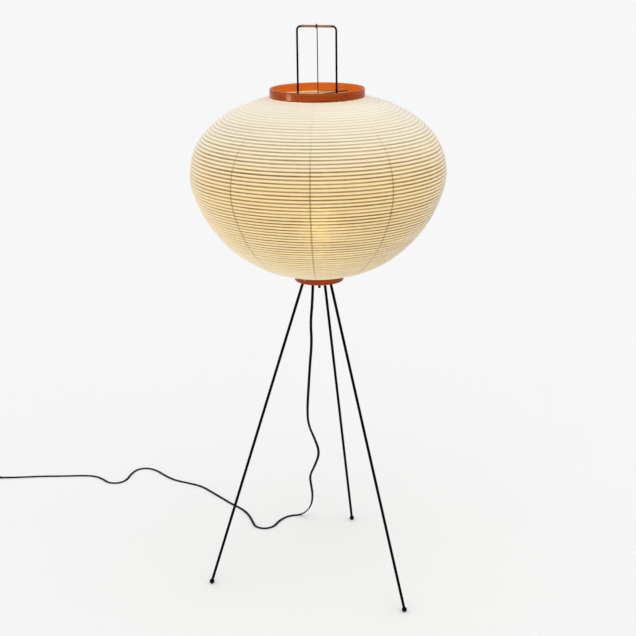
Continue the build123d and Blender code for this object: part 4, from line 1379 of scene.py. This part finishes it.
fit(handle_frame(), "lamp", "frame_black", "handle_frame")
wrap, ties = cane_on_handle()
fit(wrap, "lamp", "cane", "cane_wrap")
fit(ties, "lamp", "cane", "cane_ties")
fit(hanger(), "lamp", "hanger_steel", "hanger_wire")
fit(bridge_wire(), "shade_top", "hanger_steel", "top_bridge")
low_ring = bent_ring("low_wood_ring", low_ring_radius, low_ring_low, low_ring_high)
top_ring = bent_ring("top_wood_ring", top_ring_radius, top_ring_low, top_ring_high)
rings = fit(low_ring, "lamp", "ring_lacquer", "bottom_ring"), fit(top_ring, "shade_top", "ring_lacquer", "top_ring")

for piece, finish in ((paper_skin(), "shade_paper"), (bamboo_rib(), "bamboo")):
    fit(piece, "lamp", finish, "paper_shade")
    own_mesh(piece)

fit(holder_cup(), "lamp", "holder_black", "holder_cap")
fit(holder_sleeve(), "lamp", "holder_black", "holder_body")
fit(bulb_base(), "lamp", "bulb_metal", "bulb_cap")
fit(bulb_globe(), "lamp", "bulb_glass", "bulb_glass")

lower_half, upper_half, key = cord_switch()
fit(lower_half, "lamp", "switch_black", "switch_base")
fit(upper_half, "lamp", "switch_black", "switch_cover")
fit(key, "rocker", "rocker_black", "switch_rocker")
plug, blades = mains_plug()
fit(plug, "lamp", "plug_black", "plug_body")
fit(blades, "lamp", "brass", "plug_blades")
sleeves = [
    fit(sleeve("switch_sleeve_in", (-892.4, 500, 3.2), (1, 0, 0), 22, 3.15, 3.1), "lamp", "switch_black"),
    fit(sleeve("switch_sleeve_out", (-949.6, 500, 3.2), (-1, 0, 0), 20, 3.15, 3.1), "lamp", "switch_black"),
]

lead, lead_line, lead_length = twin_cord("lead_flat_twin", cord_points, Vector((1, 0, 0)), hanging_twist)
fit(lead, "lamp", "cord_black", "cord_run")
coil, coil_line, coil_length = twin_cord("lead_coil", coil_turns(), Vector((0, 1, 0)))
fit(coil, "lamp", "cord_black", "cord_coil")

# What keeps its first shape still gets a finish
kept = {
    "ring_bridge": "frame_black", "bridge_screws": "steel", "holder_core": "porcelain", "screw_shell": "brass",
    "contact_tongue": "brass", "switch_contacts": "brass", "switch_screws": "steel", "cord_inside": "switch_black",
}
for name, finish in kept.items():
    paint(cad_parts[name], finish)


# Studio


def camera():
    data = bpy.data.cameras.new("camera")
    data.sensor_width = 36
    data.lens = 68.84
    data.clip_start, data.clip_end = 0.05, 60
    eye = bpy.data.objects.new("camera", data)
    bpy.context.scene.collection.objects.link(eye)
    place = Matrix.Translation((0.0249, -2.4899, 1.3981)) @ Matrix.Rotation(0.0115, 4, "Z")
    eye.matrix_world = place @ Matrix.Rotation(pi / 2 - 0.3081, 4, "X") @ Matrix.Rotation(-0.0117, 4, "Z")
    bpy.context.scene.camera = eye


def floor():
    """A plain pale floor that keeps the lamp's soft shadow."""
    rest()
    bpy.ops.mesh.primitive_plane_add(size=40, location=(0, 0, 0))
    ground = apply_place(name_it("floor"))
    material, tree, shader = new_finish("pale_floor")
    place = own_place(tree)
    tone = noise(tree, place, 3.0, 3.0)
    tree.links.new(blend_of(tree, tone, (0.93, 0.932, 0.937), (0.94, 0.942, 0.947)), shader.inputs["Base Color"])
    shader.inputs["Roughness"].default_value = 0.9
    shader.inputs["Specular IOR Level"].default_value = 0.0
    ground.data.materials.append(material)


def studio_light():
    """Even light from all round, and one large soft lamp high on the left."""
    world = bpy.data.worlds.new("studio")
    bpy.context.scene.world = world
    world.use_nodes = True
    tree = world.node_tree
    tree.nodes.clear()
    rays = tree.nodes.new("ShaderNodeLightPath").outputs
    seen = sums(tree, "MAXIMUM", rays["Is Camera Ray"], sums(
        tree, "MAXIMUM", rays["Is Glossy Ray"], rays["Is Transmission Ray"]
    ))
    strength = sums(tree, "MULTIPLY_ADD", seen, 0.925 - world_level, world_level)
    sky = node(tree, "ShaderNodeBackground", {"Color": (1, 1, 1, 1), "Strength": strength})
    output = tree.nodes.new("ShaderNodeOutputWorld")
    tree.links.new(sky.outputs["Background"], output.inputs["Surface"])
    for name, power, angle, turn in (("key", 0.16, 20, (64, 0, -78)), ("fill", 0.45, 80, (40, 0, 20))):
        data = bpy.data.lights.new(name, "SUN")
        data.energy = power
        data.angle = radians(angle)
        lamp = bpy.data.objects.new(name, data)
        bpy.context.scene.collection.objects.link(lamp)
        lamp.rotation_euler = [radians(part) for part in turn]

    # An upright strip low on the left, seen only in what is glossy, as the gleam on the lacquered rings
    data = bpy.data.lights.new("gleam", "AREA")
    data.shape = "RECTANGLE"
    data.size, data.size_y = 0.55, 1.2
    data.energy = 60
    data.color = (1.0, 0.62, 0.42)
    lamp = bpy.data.objects.new("gleam", data)
    bpy.context.scene.collection.objects.link(lamp)
    lamp.location = (-2.4, -0.85, 0.62)
    lamp.rotation_euler = (pi / 2, 0, atan2(0.85, 2.4) - pi / 2)
    lamp.visible_camera = lamp.visible_diffuse = lamp.visible_transmission = False
    lacquered = bpy.data.collections.new("lacquered rings")
    for ring in rings:
        lacquered.objects.link(ring)
    lamp.light_linking.receiver_collection = lacquered


world_level = 0.86
camera()
floor()
studio_light()
bpy.context.scene.view_settings.view_transform = "Standard"
